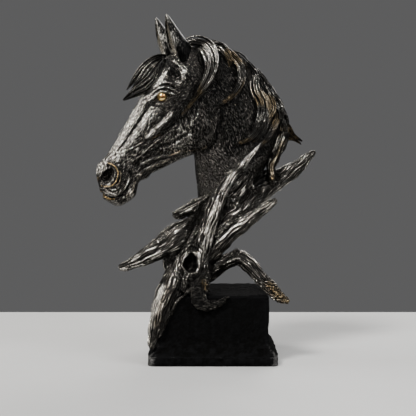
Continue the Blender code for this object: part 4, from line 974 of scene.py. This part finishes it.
# Where silver and gold were brushed on the wood: x, z, half width, strength
silverOnWood = [
    ([(-44, 136), (-60, 128), (-78, 121), (-96, 114)], 4.5, 0.7),
    ([(2, 141), (12, 152), (24, 160), (40, 171)], 7, 0.68),
    ([(54, 178), (68, 186)], 4, 0.5),
    ([(-6, 150), (2, 178), (12, 202), (24, 219), (40, 236), (57, 256)], 3.2, 0.62),
    ([(-12, 124), (-7, 140), (-2, 162), (6, 184)], 9, 1.15),
    ([(20, 182), (40, 200), (60, 216)], 12, 0.2),
    ([(-57, 92), (-64, 76), (-71, 56), (-76, 30)], 4.5, 1),
    ([(-44, 110), (-52, 84), (-62, 52)], 3, 0.5),
    ([(-40, 112), (-48, 90), (-56, 70)], 3, 0.5),
    ([(85, 260), (78, 246), (71, 230), (70, 216)], 3, 0.4),
    ([(-22, 140), (-4, 160)], 12, 0.25),
]
bareOnWood = [
    ([(-40, 134), (-24, 136), (-10, 128)], 8, 0.3),
    ([(48, 108), (66, 88), (88, 72)], 9, 0.6),
    ([(10, 134), (36, 150), (58, 168)], 6, 0.7),
    ([(-26, 94), (-14, 94)], 12, 0.6),
    ([(-20, 88), (-18, 76), (-8, 67), (6, 69), (18, 78)], 12, 1.2),
    ([(-46, 84), (-56, 60), (-64, 34)], 6, 0.6),
    ([(-30, 84), (-46, 62)], 5, 0.7),
    ([(-36, 158), (-10, 168), (10, 176)], 9, 0.3),
    ([(-50, 122), (-44, 108)], 8, 0.5),
    ([(40, 190), (70, 206)], 7, 0.3),
    ([(30, 222), (46, 222), (56, 216)], 8, 0.6),
    ([(72, 214), (92, 222), (118, 240)], 7, 0.45),
]
# painted shade on the wood, in hollows and behind other parts: x, z, half width, strength
shadeOnWood = [
    ([(-20, 88), (-18, 76), (-8, 68), (6, 70), (18, 79)], 12, 1.3),
    ([(-36, 90), (-18, 92)], 9, 0.55),
    ([(54, 232), (58, 214)], 9, 0.9),
    ([(58, 252), (56, 236), (56, 218)], 8, 0.8),
    ([(-14, 240), (-2, 218), (0, 200)], 14, 0.55),
    ([(34, 216), (44, 222)], 6, 0.6),
    ([(-26, 128), (-14, 134)], 6, 0.3),
]
goldOnWood = [
    ([(66, 90), (78, 78), (88, 72)], 8, 0.30),
    ([(-50, 96), (-60, 70), (-66, 50)], 7, 0.15),
    ([(-11, 95), (-8, 88)], 3, 0.35),
    ([(84, 258), (76, 242), (70, 228), (71, 214)], 4, 0.35),
]


def limbShell(rows, seed):  # a tapered limb, a little uneven round its girth
    count, angles = wood["limbRings"], np.linspace(0.0, 2 * math.pi, wood["limbSides"], endpoint=False)
    centre, _, across, out, wide, thick = sweptPath(rows, wood["facing"], count)
    rings = []
    for k in range(count):
        at = 36.0 * k / count
        ridges = 0.5 * np.sin(3 * angles + 0.21 * at + seed)
        ridges += 0.35 * np.sin(5 * angles - 0.13 * at + 2 * seed)
        lump = 1.0 + wood["uneven"] * (ridges + 0.3 * math.sin(0.55 * at + 1.7 * seed))
        rings.append(centre[k] + across[k] * (wide[k] * np.cos(angles) * lump)[:, None]
                     + out[k] * (thick[k] * np.sin(angles) * lump)[:, None])
    return skin(rings)


def nearestLimb(points):
    # run along the nearest limb, way round it, a number of its own and nearness to its tip
    best = np.full(len(points), 1e9)
    found = np.zeros((len(points), 4))
    for index, rows in enumerate(limbs.values()):
        rows = np.asarray(rows, float)
        length = np.sum(np.linalg.norm(np.diff(rows[:, :3], axis=0), axis=1))
        samples = max(12, int(length / 2.5))
        centre, tangent, across, out, wide, thick = sweptPath(rows, wood["facing"], samples)
        steps = runAlong(centre)
        reach = 2.2 * rows[:, 3].max() + 10.0
        low, high = centre.min(axis=0) - reach, centre.max(axis=0) + reach
        close = np.flatnonzero(np.all((points > low) & (points < high), axis=1))
        for chunk in np.array_split(close, max(1, len(close) // 20000)):
            if len(chunk) == 0:
                continue
            rel = points[chunk][:, None, :] - centre[None]
            a, o, t = (np.einsum("nki,ki->nk", rel, axis) for axis in (across, out, tangent))
            off = np.abs(np.sqrt((a / wide) ** 2 + (o / thick) ** 2) - 1.0)
            off = off * np.minimum(wide, thick) + 0.7 * np.abs(t)
            at = np.argmin(off, axis=1)
            row = np.arange(len(chunk))
            gap = off[row, at]
            closer = gap < best[chunk]
            turn = np.arctan2(o[row, at] / thick[at], a[row, at] / wide[at])
            size = 0.5 * (wide[at] + thick[at])
            run = steps[at] + t[row, at]
            around = turn * (0.35 * size + 0.65 * rows[:, 3].mean())
            tip = rise(run, steps[-1] - 16.0, steps[-1])
            place = np.stack([run, around, np.full(len(chunk), index * 17.3), tip], axis=1)
            best[chunk[closer]] = gap[closer]
            found[chunk[closer]] = place[closer]
    return found


def knotPress(points):  # knot hole with a raised rim and a bud inside
    radius = wood["knotRadius"]
    fromX, fromZ = points[:, 0] - wood["knotAt"][0], points[:, 2] - wood["knotAt"][1]
    turn = np.arctan2(fromZ, fromX)
    uneven = 1.0 + 0.10 * np.sin(2 * turn + 2.4) + 0.07 * np.sin(3 * turn + 0.8) + 0.04 * np.sin(7 * turn)
    gap = np.hypot(0.96 * fromX + 0.08 * fromZ, 0.88 * fromZ) * uneven
    hollow = -radius * np.clip(1.3 - 1.3 * (gap / radius) ** 5, 0.0, 1.0)
    rim = (1.15 + 0.5 * np.sin(turn + 1.0)) * bell(gap - 1.28 * radius, 1.2)
    bud = 3.0 * bell(np.hypot(fromX - 2.2 + 0.4 * fromZ, 0.35 * (fromZ - 1.5)), 1.3)
    near = (points[:, 1] < wood["knotFace"]) & (gap < 2.5 * radius)
    pressed = points.copy()
    pressed[:, 1] -= np.where(near, hollow + rim + bud, 0.0)
    return pressed, np.where(near, gap, 99.0)


def brushedFlat(points, strokes):
    return brushed(points[:, [0, 2]], strokes, 14, 1.4) * rise(-points[:, 1], 0.0, 16.0)


def makeWood():
    shells = [limbShell(rows, k) for k, rows in enumerate(limbs.values())]
    shells.append(neckSkin(neckSections[7:], 30, 60, 0.04, 0.92, 1.0))  # runs together with the neck
    piece = grownTogether("driftwood", shells, wood["voxel"])
    relax(piece, 2)
    points, ring = knotPress(getPoints(piece))
    setPoints(piece, points)
    relax(piece, 1)
    points, normals = getPoints(piece), getNormals(piece)
    run, around, limb, tip = blur(piece, nearestLimb(points), 4).T
    warp = 1.8 * softNoise(points / 16.0, 31) + 0.5 * softNoise(points / 6.0, 33)
    around = around + warp + wood["knotPull"] * bell(ring - 14.0, 9.0)
    broad = np.stack([run / wood["broadLength"], around / wood["broadGroove"], limb], axis=1)
    fine = np.stack([run / wood["fineLength"], around / wood["fineGroove"], limb + 5.0], axis=1)
    split = 0.55 + 0.45 * softNoise(points / 17.0, 45)
    height = wood["broadDepth"] * split * (ridged(broad, 41) - 0.45)
    height += wood["fineDepth"] * (ridged(fine, 43) - 0.4)
    height += wood["swell"] * softNoise(points / 9.0, 47) + wood["pit"] * softNoise(points / 2.2, 49)
    foot = rise(points[:, 0], -30, -18) * (1.0 - rise(points[:, 2], 92, 104))
    crumbs = wood["crumb"] * np.maximum(foot, tip) * ridged(points / wood["crumbSize"], 53)
    height = height * (1.0 - 0.85 * foot) + crumbs
    rings = 0.5 * np.cos(ring * 2 * math.pi / wood["ringPitch"]) * bell(ring - 15.0, 5.0)
    height = np.where(ring < 22.0, height * rise(ring, 8.0, 20.0) + rings, height)
    insidePlinth = rise(plinthDepth(points), 0.0, 1.2)
    setPoints(piece, points + (height * (1.0 - 0.6 * insidePlinth))[:, None] * normals)
    reliefFields(piece, 0.34, 1.7, fineRounds=4, formRounds=30, share=1.0 - 0.55 * tip)
    radius = wood["knotRadius"]
    rim = 0.12 * bell(ring - 1.28 * radius, 0.8) * (0.5 + 0.5 * softNoise(points / 6.0, 55))
    # painted shade: the knot's hole is darkened
    holeShade = 1.5 * (1.0 - rise(ring, 0.88 * radius, 1.12 * radius))
    storeField(piece, "silverAndSheen", brushedFlat(points, silverOnWood) - brushedFlat(points, bareOnWood) + rim)
    storeField(piece, "gold", brushedFlat(points, goldOnWood))
    storeField(piece, "shade", brushedFlat(points, shadeOnWood) + holeShade)
    lie = np.stack([run, around, limb], axis=1)
    storeField(piece, "grain", np.where(foot[:, None] > 0.5, 1.3 * points + 60.0, lie))
    return piece


# Plinth: rough casting with a flared foot
plinth = {
    "cornerRadius": 5.0,
    "edgeRound": 2.2,
    "lip": 12.0,
    "flare": 18.0,
    "across": 130.0,
    "deep": 116.0,
    "steps": 130,
    "topRings": 46,
    "pit": 0.28,
    "pitSize": 1.9,
    "swell": 0.50,
    "swellSize": 13.0,
}


def plinthDepth(points):  # how far a drawn point lies inside the plinth's body
    inX = plinth["across"] / 2 - np.abs(points[:, 0])
    inY = plinth["deep"] / 2 - np.abs(points[:, 1])
    return np.minimum(np.minimum(inX, inY), drawnPlinth - points[:, 2])


def roundedRing(halfX, halfY, radius, z, count):
    corner = np.linspace(0.0, 0.5 * math.pi, 10)
    ring = []
    for cx, cy, start in ((1, 1, 0.0), (-1, 1, 0.5), (-1, -1, 1.0), (1, -1, 1.5)):
        turn = corner + math.pi * start
        ring.append(np.stack([cx * (halfX - radius) + radius * np.cos(turn),
                              cy * (halfY - radius) + radius * np.sin(turn), np.full(len(turn), z)], axis=1))
    return evenly(np.vstack(ring), count)


def makePlinth():
    footX = (plinthHigh.x - plinthLow.x) / metresPerMm / 2
    footY = (plinthHigh.y - plinthLow.y) / metresPerMm / 2
    bodyX, bodyY = plinth["across"] / 2, plinth["deep"] / 2
    lip, flare, top, edge = plinth["lip"], plinth["lip"] + plinth["flare"], drawnPlinth, plinth["edgeRound"]
    # height, share of the foot's flare, inset
    levels = [(0.0, 0.86, 0.0), (0.12 * lip, 0.955, 0.0), (0.40 * lip, 1.0, 0.0), (0.9 * lip, 1.0, 0.0)]
    for share in np.linspace(0.12, 1.0, 7):
        levels.append((lip + share * (flare - lip), 0.9 * (1.0 - share) ** 1.7, 0.0))
    levels += [(0.5 * (flare + top), 0.0, 0.0), (top - edge, 0.0, 0.0), (top - 0.35 * edge, 0.0, 0.45 * edge),
               (top, 0.0, 1.2 * edge)]
    level, flares, insets = np.array(levels).T
    heights = [*np.linspace(0.0, top - edge, plinth["steps"] // 2), *np.linspace(top - edge, top, 8)[1:]]
    rings = []
    for z in heights:
        out, inset = np.interp(z, level, flares), np.interp(z, level, insets)
        rings.append(roundedRing(bodyX + (footX - bodyX) * out - inset, bodyY + (footY - bodyY) * out - inset,
                                 plinth["cornerRadius"] * (1.0 + 0.4 * out), z, 2 * plinth["steps"]))
    topRing = rings[-1]
    for shrink in np.linspace(0.985, 0.02, plinth["topRings"]):
        rings.append(topRing * np.array([shrink, shrink, 1.0]))
    piece = newPiece("plinth_casting", *skin(rings))
    points, normals = getPoints(piece), getNormals(piece)
    low = 1.0 - rise(points[:, 2], 14.0, 34.0)
    bumps = plinth["swell"] * softNoise(points / plinth["swellSize"], 61) + 0.3 * softNoise(points / 5.5, 63)
    bumps += plinth["pit"] * softNoise(points / plinth["pitSize"], 67)
    drip = 0.35 * np.maximum(softNoise(points / np.array([5.0, 5.0, 45.0]), 69), 0.0)
    lumps = low * (1.3 * np.maximum(softNoise(points / np.array([8.0, 8.0, 6.0]), 71), -0.2) - 0.4)
    height = np.minimum(bumps - 0.55, 0.0) + drip + lumps
    height *= rise(points[:, 2], 0.0, 2.5)
    setPoints(piece, points + height[:, None] * normals)
    reliefFields(piece, 0.16, 0.9, formRounds=20)
    storeField(piece, "silverAndSheen", rise(np.abs(points[:, 0]), 58, 72) * rise(np.abs(points[:, 1]), 50, 66) * low)
    storeField(piece, "grain", points * np.array([1.0, 1.0, 0.3]))
    return piece


# Finishes: bump, sheen, and what the brush group is given
bumpDistance = 0.0009  # metres
finishes = {
    "brushed_head": {"bump": 0.9, "brush": {
        "Edge Gain": 0.40, "Form Gain": 0.34, "Brush Gain": 0.60, "Cut": 0.30, "Streak Gain": 2.2,
        "Speckle": 0.4, "Hatch": 1.0, "Dullness": 0.32, "Worn": (0.24, 0.222, 0.196, 1.0),
        "Streak Size": (0.24, 1.15, 1.0)}},
    "brushed_neck": {"bump": 0.9, "brush": {
        "Edge Gain": 0.40, "Form Gain": 0.34, "Brush Gain": 0.60, "Cut": 0.30, "Streak Gain": 1.7,
        "Speckle": 0.4, "Hatch": 1.0, "Dullness": 0.32, "Worn": (0.21, 0.195, 0.172, 1.0),
        "Streak Size": (0.26, 1.4, 1.2)}},
    "brushed_mane": {"bump": 0.5, "brush": {
        "Edge Gain": 0.60, "Form Gain": 0.30, "Brush Gain": 1.30, "Cut": 0.30, "Streak Gain": 1.6,
        "Speckle": 0.4, "Hatch": 0.25, "Dark": (0.020, 0.0182, 0.016, 1.0), "Streak Size": (0.04, 1.0, 0.9)}},
    "brushed_ears": {"bump": 0.4, "brush": {
        "Edge Gain": 0.40, "Form Gain": 0.30, "Brush Gain": 0.66, "Cut": 0.28, "Streak Gain": 0.9,
        "Speckle": 0.4, "Hatch": 0.3, "Streak Size": (0.12, 1.3, 1.3)}},
    "brushed_driftwood": {"bump": 1.0, "brush": {
        "Edge Gain": 0.62, "Form Gain": 0.35, "Brush Gain": 0.62, "Cut": 0.53, "Streak Gain": 2.8,
        "Speckle": 1.0, "Hatch": 0.9, "Slope": 3.2, "Streak Size": (0.07, 1.05, 1.1)}},
    "black_casting": {"bump": 0.8, "metallic": 0.0, "specular": 0.03, "brush": {
        "Edge Gain": 0.20, "Form Gain": 0.20, "Brush Gain": 0.30, "Cut": 0.50, "Streak Gain": 0.3,
        "Speckle": 0.5, "Hatch": 0.0, "Dullness": 0.86, "Dark": (0.0032, 0.0032, 0.0034, 1.0),
        "Silver": (0.18, 0.175, 0.17, 1.0)}},
}


def mixColour(tree, mask, first, second):
    feeds = {"Factor": mask, "A": first, "B": second}
    return nodeLine(tree, "ShaderNodeMix", feeds, data_type="RGBA").outputs["Result"]


def noiseNode(tree, place, scale, detail, rough=0.6):
    feeds = {"Vector": place, "Scale": scale, "Detail": detail, "Roughness": rough}
    return nodeLine(tree, "ShaderNodeTexNoise", feeds).outputs["Fac"]


def fieldNode(tree, name, part="Fac"):
    return nodeLine(tree, "ShaderNodeAttribute", attribute_name=name).outputs[part]


def objectPlace(tree):
    return nodeLine(tree, "ShaderNodeTexCoord").outputs["Object"]


def startMaterial(name):
    material = bpy.data.materials.new(name)
    material.use_nodes = True
    return material, material.node_tree, material.node_tree.nodes["Principled BSDF"]


def makeDryBrush():  # bright metal dragged over a dark cast surface
    tree = bpy.data.node_groups.new("dryBrush", "ShaderNodeTree")
    addSockets(tree, "INPUT", [
        ("Place", "Vector", None), ("Edge Gain", "Float", 0.6), ("Form Gain", "Float", 0.35),
        ("Brush Gain", "Float", 0.8), ("Streak Gain", "Float", 0.5), ("Speckle", "Float", 0.5),
        ("Cut", "Float", 0.35), ("Slope", "Float", 1.8), ("Hatch", "Float", 0.6), ("Dullness", "Float", 0.38),
        ("Streak Size", "Vector", (0.14, 0.75, 0.6)), ("Dark", "Color", (0.025, 0.0226, 0.0196, 1.0)),
        ("Worn", "Color", (0.15, 0.139, 0.122, 1.0)), ("Silver", "Color", (0.88, 0.83, 0.74, 1.0)),
        ("Gilt", "Color", (0.55, 0.38, 0.17, 1.0))])
    addSockets(tree, "OUTPUT", [
        ("Color", "Color", None), ("Roughness", "Float", None), ("Height", "Float", None)])

    def maths(kind, *values, clamp=False):
        return mathNode(tree, kind, *values, clamp=clamp)

    def addTo(base, value, share, clamp=False):
        return maths("MULTIPLY_ADD", value, share, base, clamp=clamp)

    given = nodeLine(tree, "NodeGroupInput").outputs
    fields = ("edge", "form", "silverAndSheen", "gold", "shade")
    edge, form, silverAndSheen, gold, shade = (fieldNode(tree, name) for name in fields)
    stretch = {0: fieldNode(tree, "grain", "Vector"), 1: given["Streak Size"]}
    stretched = nodeLine(tree, "ShaderNodeVectorMath", stretch, operation="MULTIPLY").outputs[0]
    streak = noiseNode(tree, stretched, 1.0, 1.5, 0.5)
    fine = noiseNode(tree, given["Place"], 900.0, 2.0)
    broad = noiseNode(tree, given["Place"], 75.0, 4.0)
    lines = maths("SUBTRACT", streak, 0.5)
    grit = maths("MULTIPLY", maths("SUBTRACT", fine, 0.5), given["Speckle"])
    drag = addTo(grit, lines, given["Streak Gain"])
    # Silver: on edges, on raised forms and where it was brushed, with the painted sheen stored beside it, and
    # less under the painted shade
    brush = addTo(maths("MULTIPLY", edge, given["Edge Gain"]), form, given["Form Gain"])
    brush = addTo(brush, silverAndSheen, given["Brush Gain"])
    total = maths("ADD", maths("ADD", brush, drag), addTo(-0.30, broad, 0.6))
    over = maths("SUBTRACT", addTo(total, shade, -0.45), given["Cut"])
    gaps = addTo(0.76, drag, 2.6, clamp=True)
    wear = maths("MULTIPLY", maths("MULTIPLY", over, given["Slope"], clamp=True), gaps)
    # Brown: black in the grooves, worn lighter along the strokes
    depth = addTo(addTo(0.48, edge, 0.45), form, 0.50, clamp=True)
    # painted shade: the shade field darkens the brown
    depth = addTo(depth, shade, -0.6, clamp=True)
    depth = addTo(depth, drag, 1.1, clamp=True)
    brown = mixColour(tree, depth, (0.0015, 0.0014, 0.0013, 1.0), given["Dark"])
    hatch = maths("MULTIPLY", addTo(-0.25, lines, 7.0, clamp=True), given["Hatch"])
    brown = mixColour(tree, maths("MULTIPLY", hatch, depth), brown, given["Worn"])
    # Gold: on edges where it was brushed
    gilt = maths("ADD", addTo(drag, edge, 0.5), gold)
    gilt = maths("MULTIPLY", maths("SUBTRACT", gilt, 0.25, clamp=True), gold, clamp=True)
    gilt = maths("MULTIPLY", gilt, 2.2, clamp=True)
    metal = mixColour(tree, wear, brown, given["Silver"])
    rough = addTo(addTo(given["Dullness"], depth, -0.14), wear, -0.04, clamp=True)
    metal = mixColour(tree, gilt, metal, given["Gilt"])
    height = addTo(fine, streak, 1.6)
    nodeLine(tree, "NodeGroupOutput", {"Color": metal, "Roughness": rough, "Height": height})
    return tree


def bronze(name):
    look = finishes[name]
    material, tree, shader = startMaterial(name)
    group = bpy.data.node_groups.get("dryBrush") or makeDryBrush()
    given = {"Place": objectPlace(tree), **look["brush"]}
    made = nodeLine(tree, "ShaderNodeGroup", given, node_tree=group).outputs
    relief = {"Strength": look["bump"], "Distance": bumpDistance, "Height": made["Height"]}
    feed(tree, shader, {
        "Base Color": made["Color"], "Roughness": made["Roughness"],
        "Metallic": look.get("metallic", 0.92), "Specular IOR Level": look.get("specular", 0.5),
        "Normal": nodeLine(tree, "ShaderNodeBump", relief).outputs[0]})
    return material


def gildedEye():
    material, tree, shader = startMaterial("gilded_eye")
    ramp = nodeLine(tree, "ShaderNodeValToRGB", {0: fieldNode(tree, "iris")})
    stops = ramp.color_ramp.elements
    stops[0].position, stops[0].color = 0.30, (0.36, 0.22, 0.075, 1.0)
    stops[1].position, stops[1].color = 0.992, (0.16, 0.055, 0.012, 1.0)
    for at, colour in ((0.72, (0.72, 0.50, 0.20, 1.0)), (0.90, (0.88, 0.64, 0.28, 1.0)),
                       (0.955, (0.55, 0.27, 0.07, 1.0))):
        stops.new(at).color = colour
    speck = noiseNode(tree, objectPlace(tree), 900.0, 4.0)
    rough = mathNode(tree, "MULTIPLY_ADD", speck, 0.16, 0.10)
    feed(tree, shader, {"Base Color": ramp.outputs["Color"], "Roughness": rough, "Metallic": 0.85,
                        "Coat Weight": 0.5, "Coat Roughness": 0.06})
    return material


def paleFloor():
    material, tree, shader = startMaterial("pale_floor")
    cloud = noiseNode(tree, objectPlace(tree), 9.0, 5.0)
    colour = mixColour(tree, cloud, (0.50, 0.50, 0.49, 1.0), (0.56, 0.555, 0.545, 1.0))
    feed(tree, shader, {"Base Color": colour, "Roughness": 0.6})
    return material


# Assembly
print("materials")
finish = {name: bronze(name) for name in finishes}
eyeFinish = gildedEye()

print("mane")
skull, nape = headShell(), neckSkin(neckSections, head["neckRings"], head["neckRingPoints"])
manePieces, hairLines = makeMane(searchTree([skull, nape]), finish["brushed_mane"])
print("head and neck")
horse = [makeHorse("horse_head", skull, head["voxel"], hairLines),
         makeHorse("horse_neck", nape, head["neckVoxel"], hairLines)]
print("ears and eyes")
earPair = makeEars()
eyeBalls = [makeEye("near_eye", 1.0), makeEye("far_eye", -1.0)]
print("driftwood")
driftwood = makeWood()
print("plinth")
plinthPiece = makePlinth()
for piece, name in ((horse[0], "brushed_head"), (horse[1], "brushed_neck"), (earPair, "brushed_ears"),
                    (driftwood, "brushed_driftwood"), (plinthPiece, "black_casting")):
    piece.data.materials.append(finish[name])
for ball in eyeBalls:
    ball.data.materials.append(eyeFinish)

castPieces = [*horse, earPair, *manePieces, driftwood]
for piece in castPieces + eyeBalls + [plinthPiece]:
    toFrame(piece)
    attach(piece, "root")
    triangles = sum(len(face.vertices) - 2 for face in piece.data.polygons)
    print(piece.name, len(piece.data.vertices), "points", triangles, "triangles")
for piece in castPieces:
    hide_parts("horse_and_driftwood")
for ball in eyeBalls:
    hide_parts("horse_and_driftwood")
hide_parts("plinth")

# Floor, light and camera
stage = {
    "floorHalf": (0.36, 0.32),
    "worldColour": (0.99, 0.99, 1.0, 1.0),
    "wallGlow": 0.115,
    "worldGlow": 0.029,
    "sunFrom": (-0.62, -0.80, 1.15),
    "sunStrength": 3.9,
    "sunSpread": 14.0,
    "sunColour": (1.0, 0.985, 0.96),
    # name, place, size, power, colour
    "lamps": [
        ("front", (-0.30, -1.30, 0.75), 0.5, 5.0, (1.0, 0.99, 0.97)),
        ("fill", (0.80, -0.62, 0.95), 0.6, 10.5, (0.95, 0.97, 1.0)),
        ("side", (-0.85, 0.10, 0.75), 0.4, 6.5, (1.0, 0.99, 0.97)),
        ("rim", (0.35, 0.95, 1.0), 0.7, 11.0, (1.0, 0.98, 0.95)),
    ],
    "lampsFace": (0.0, 0.0, 0.2),
    "cameraAt": (-0.0058, -1.2, 0.245),
    "cameraFaces": (-0.0058, 0.0, 0.1775),
    "lens": 86.733,
    "sensor": 36.0,
}


def hang(name, data, at, away, axis="-Z"):  # places a lamp or camera and turns its axis along a direction
    holder = bpy.data.objects.new(name, data)
    holder.location = at
    holder.rotation_euler = away.to_track_quat(axis, "Y").to_euler()
    workshop.objects.link(holder)
    return holder


print("stage")
halfX, halfY = stage["floorHalf"]
floor = newPiece("floor", [(-halfX, -halfY, 0), (halfX, -halfY, 0), (halfX, halfY, 0), (-halfX, halfY, 0)],
                 [(0, 1, 2, 3)])
floor.data.materials.append(paleFloor())

world = bpy.data.worlds.new("studio")
world.use_nodes = True
seen = nodeLine(world.node_tree, "ShaderNodeLightPath").outputs["Is Camera Ray"]
extraGlow = stage["wallGlow"] - stage["worldGlow"]
glow = mathNode(world.node_tree, "MULTIPLY_ADD", seen, extraGlow, stage["worldGlow"])
feed(world.node_tree, world.node_tree.nodes["Background"], {"Color": stage["worldColour"], "Strength": glow})
bpy.context.scene.world = world
sun = bpy.data.lights.new("key", "SUN")
sun.energy, sun.angle, sun.color = stage["sunStrength"], math.radians(stage["sunSpread"]), stage["sunColour"]
hang("key", sun, (0.0, 0.0, 0.0), Vector(stage["sunFrom"]), "Z")
for name, at, size, power, colour in stage["lamps"]:
    lamp = bpy.data.lights.new(name, "AREA")
    lamp.size, lamp.energy, lamp.color = size, power, colour
    hang(name, lamp, at, Vector(stage["lampsFace"]) - Vector(at))

camera = bpy.data.cameras.new("view")
camera.lens, camera.sensor_width = stage["lens"], stage["sensor"]
eyePoint = Vector(stage["cameraAt"])
bpy.context.scene.camera = hang("view", camera, eyePoint, Vector(stage["cameraFaces"]) - eyePoint)
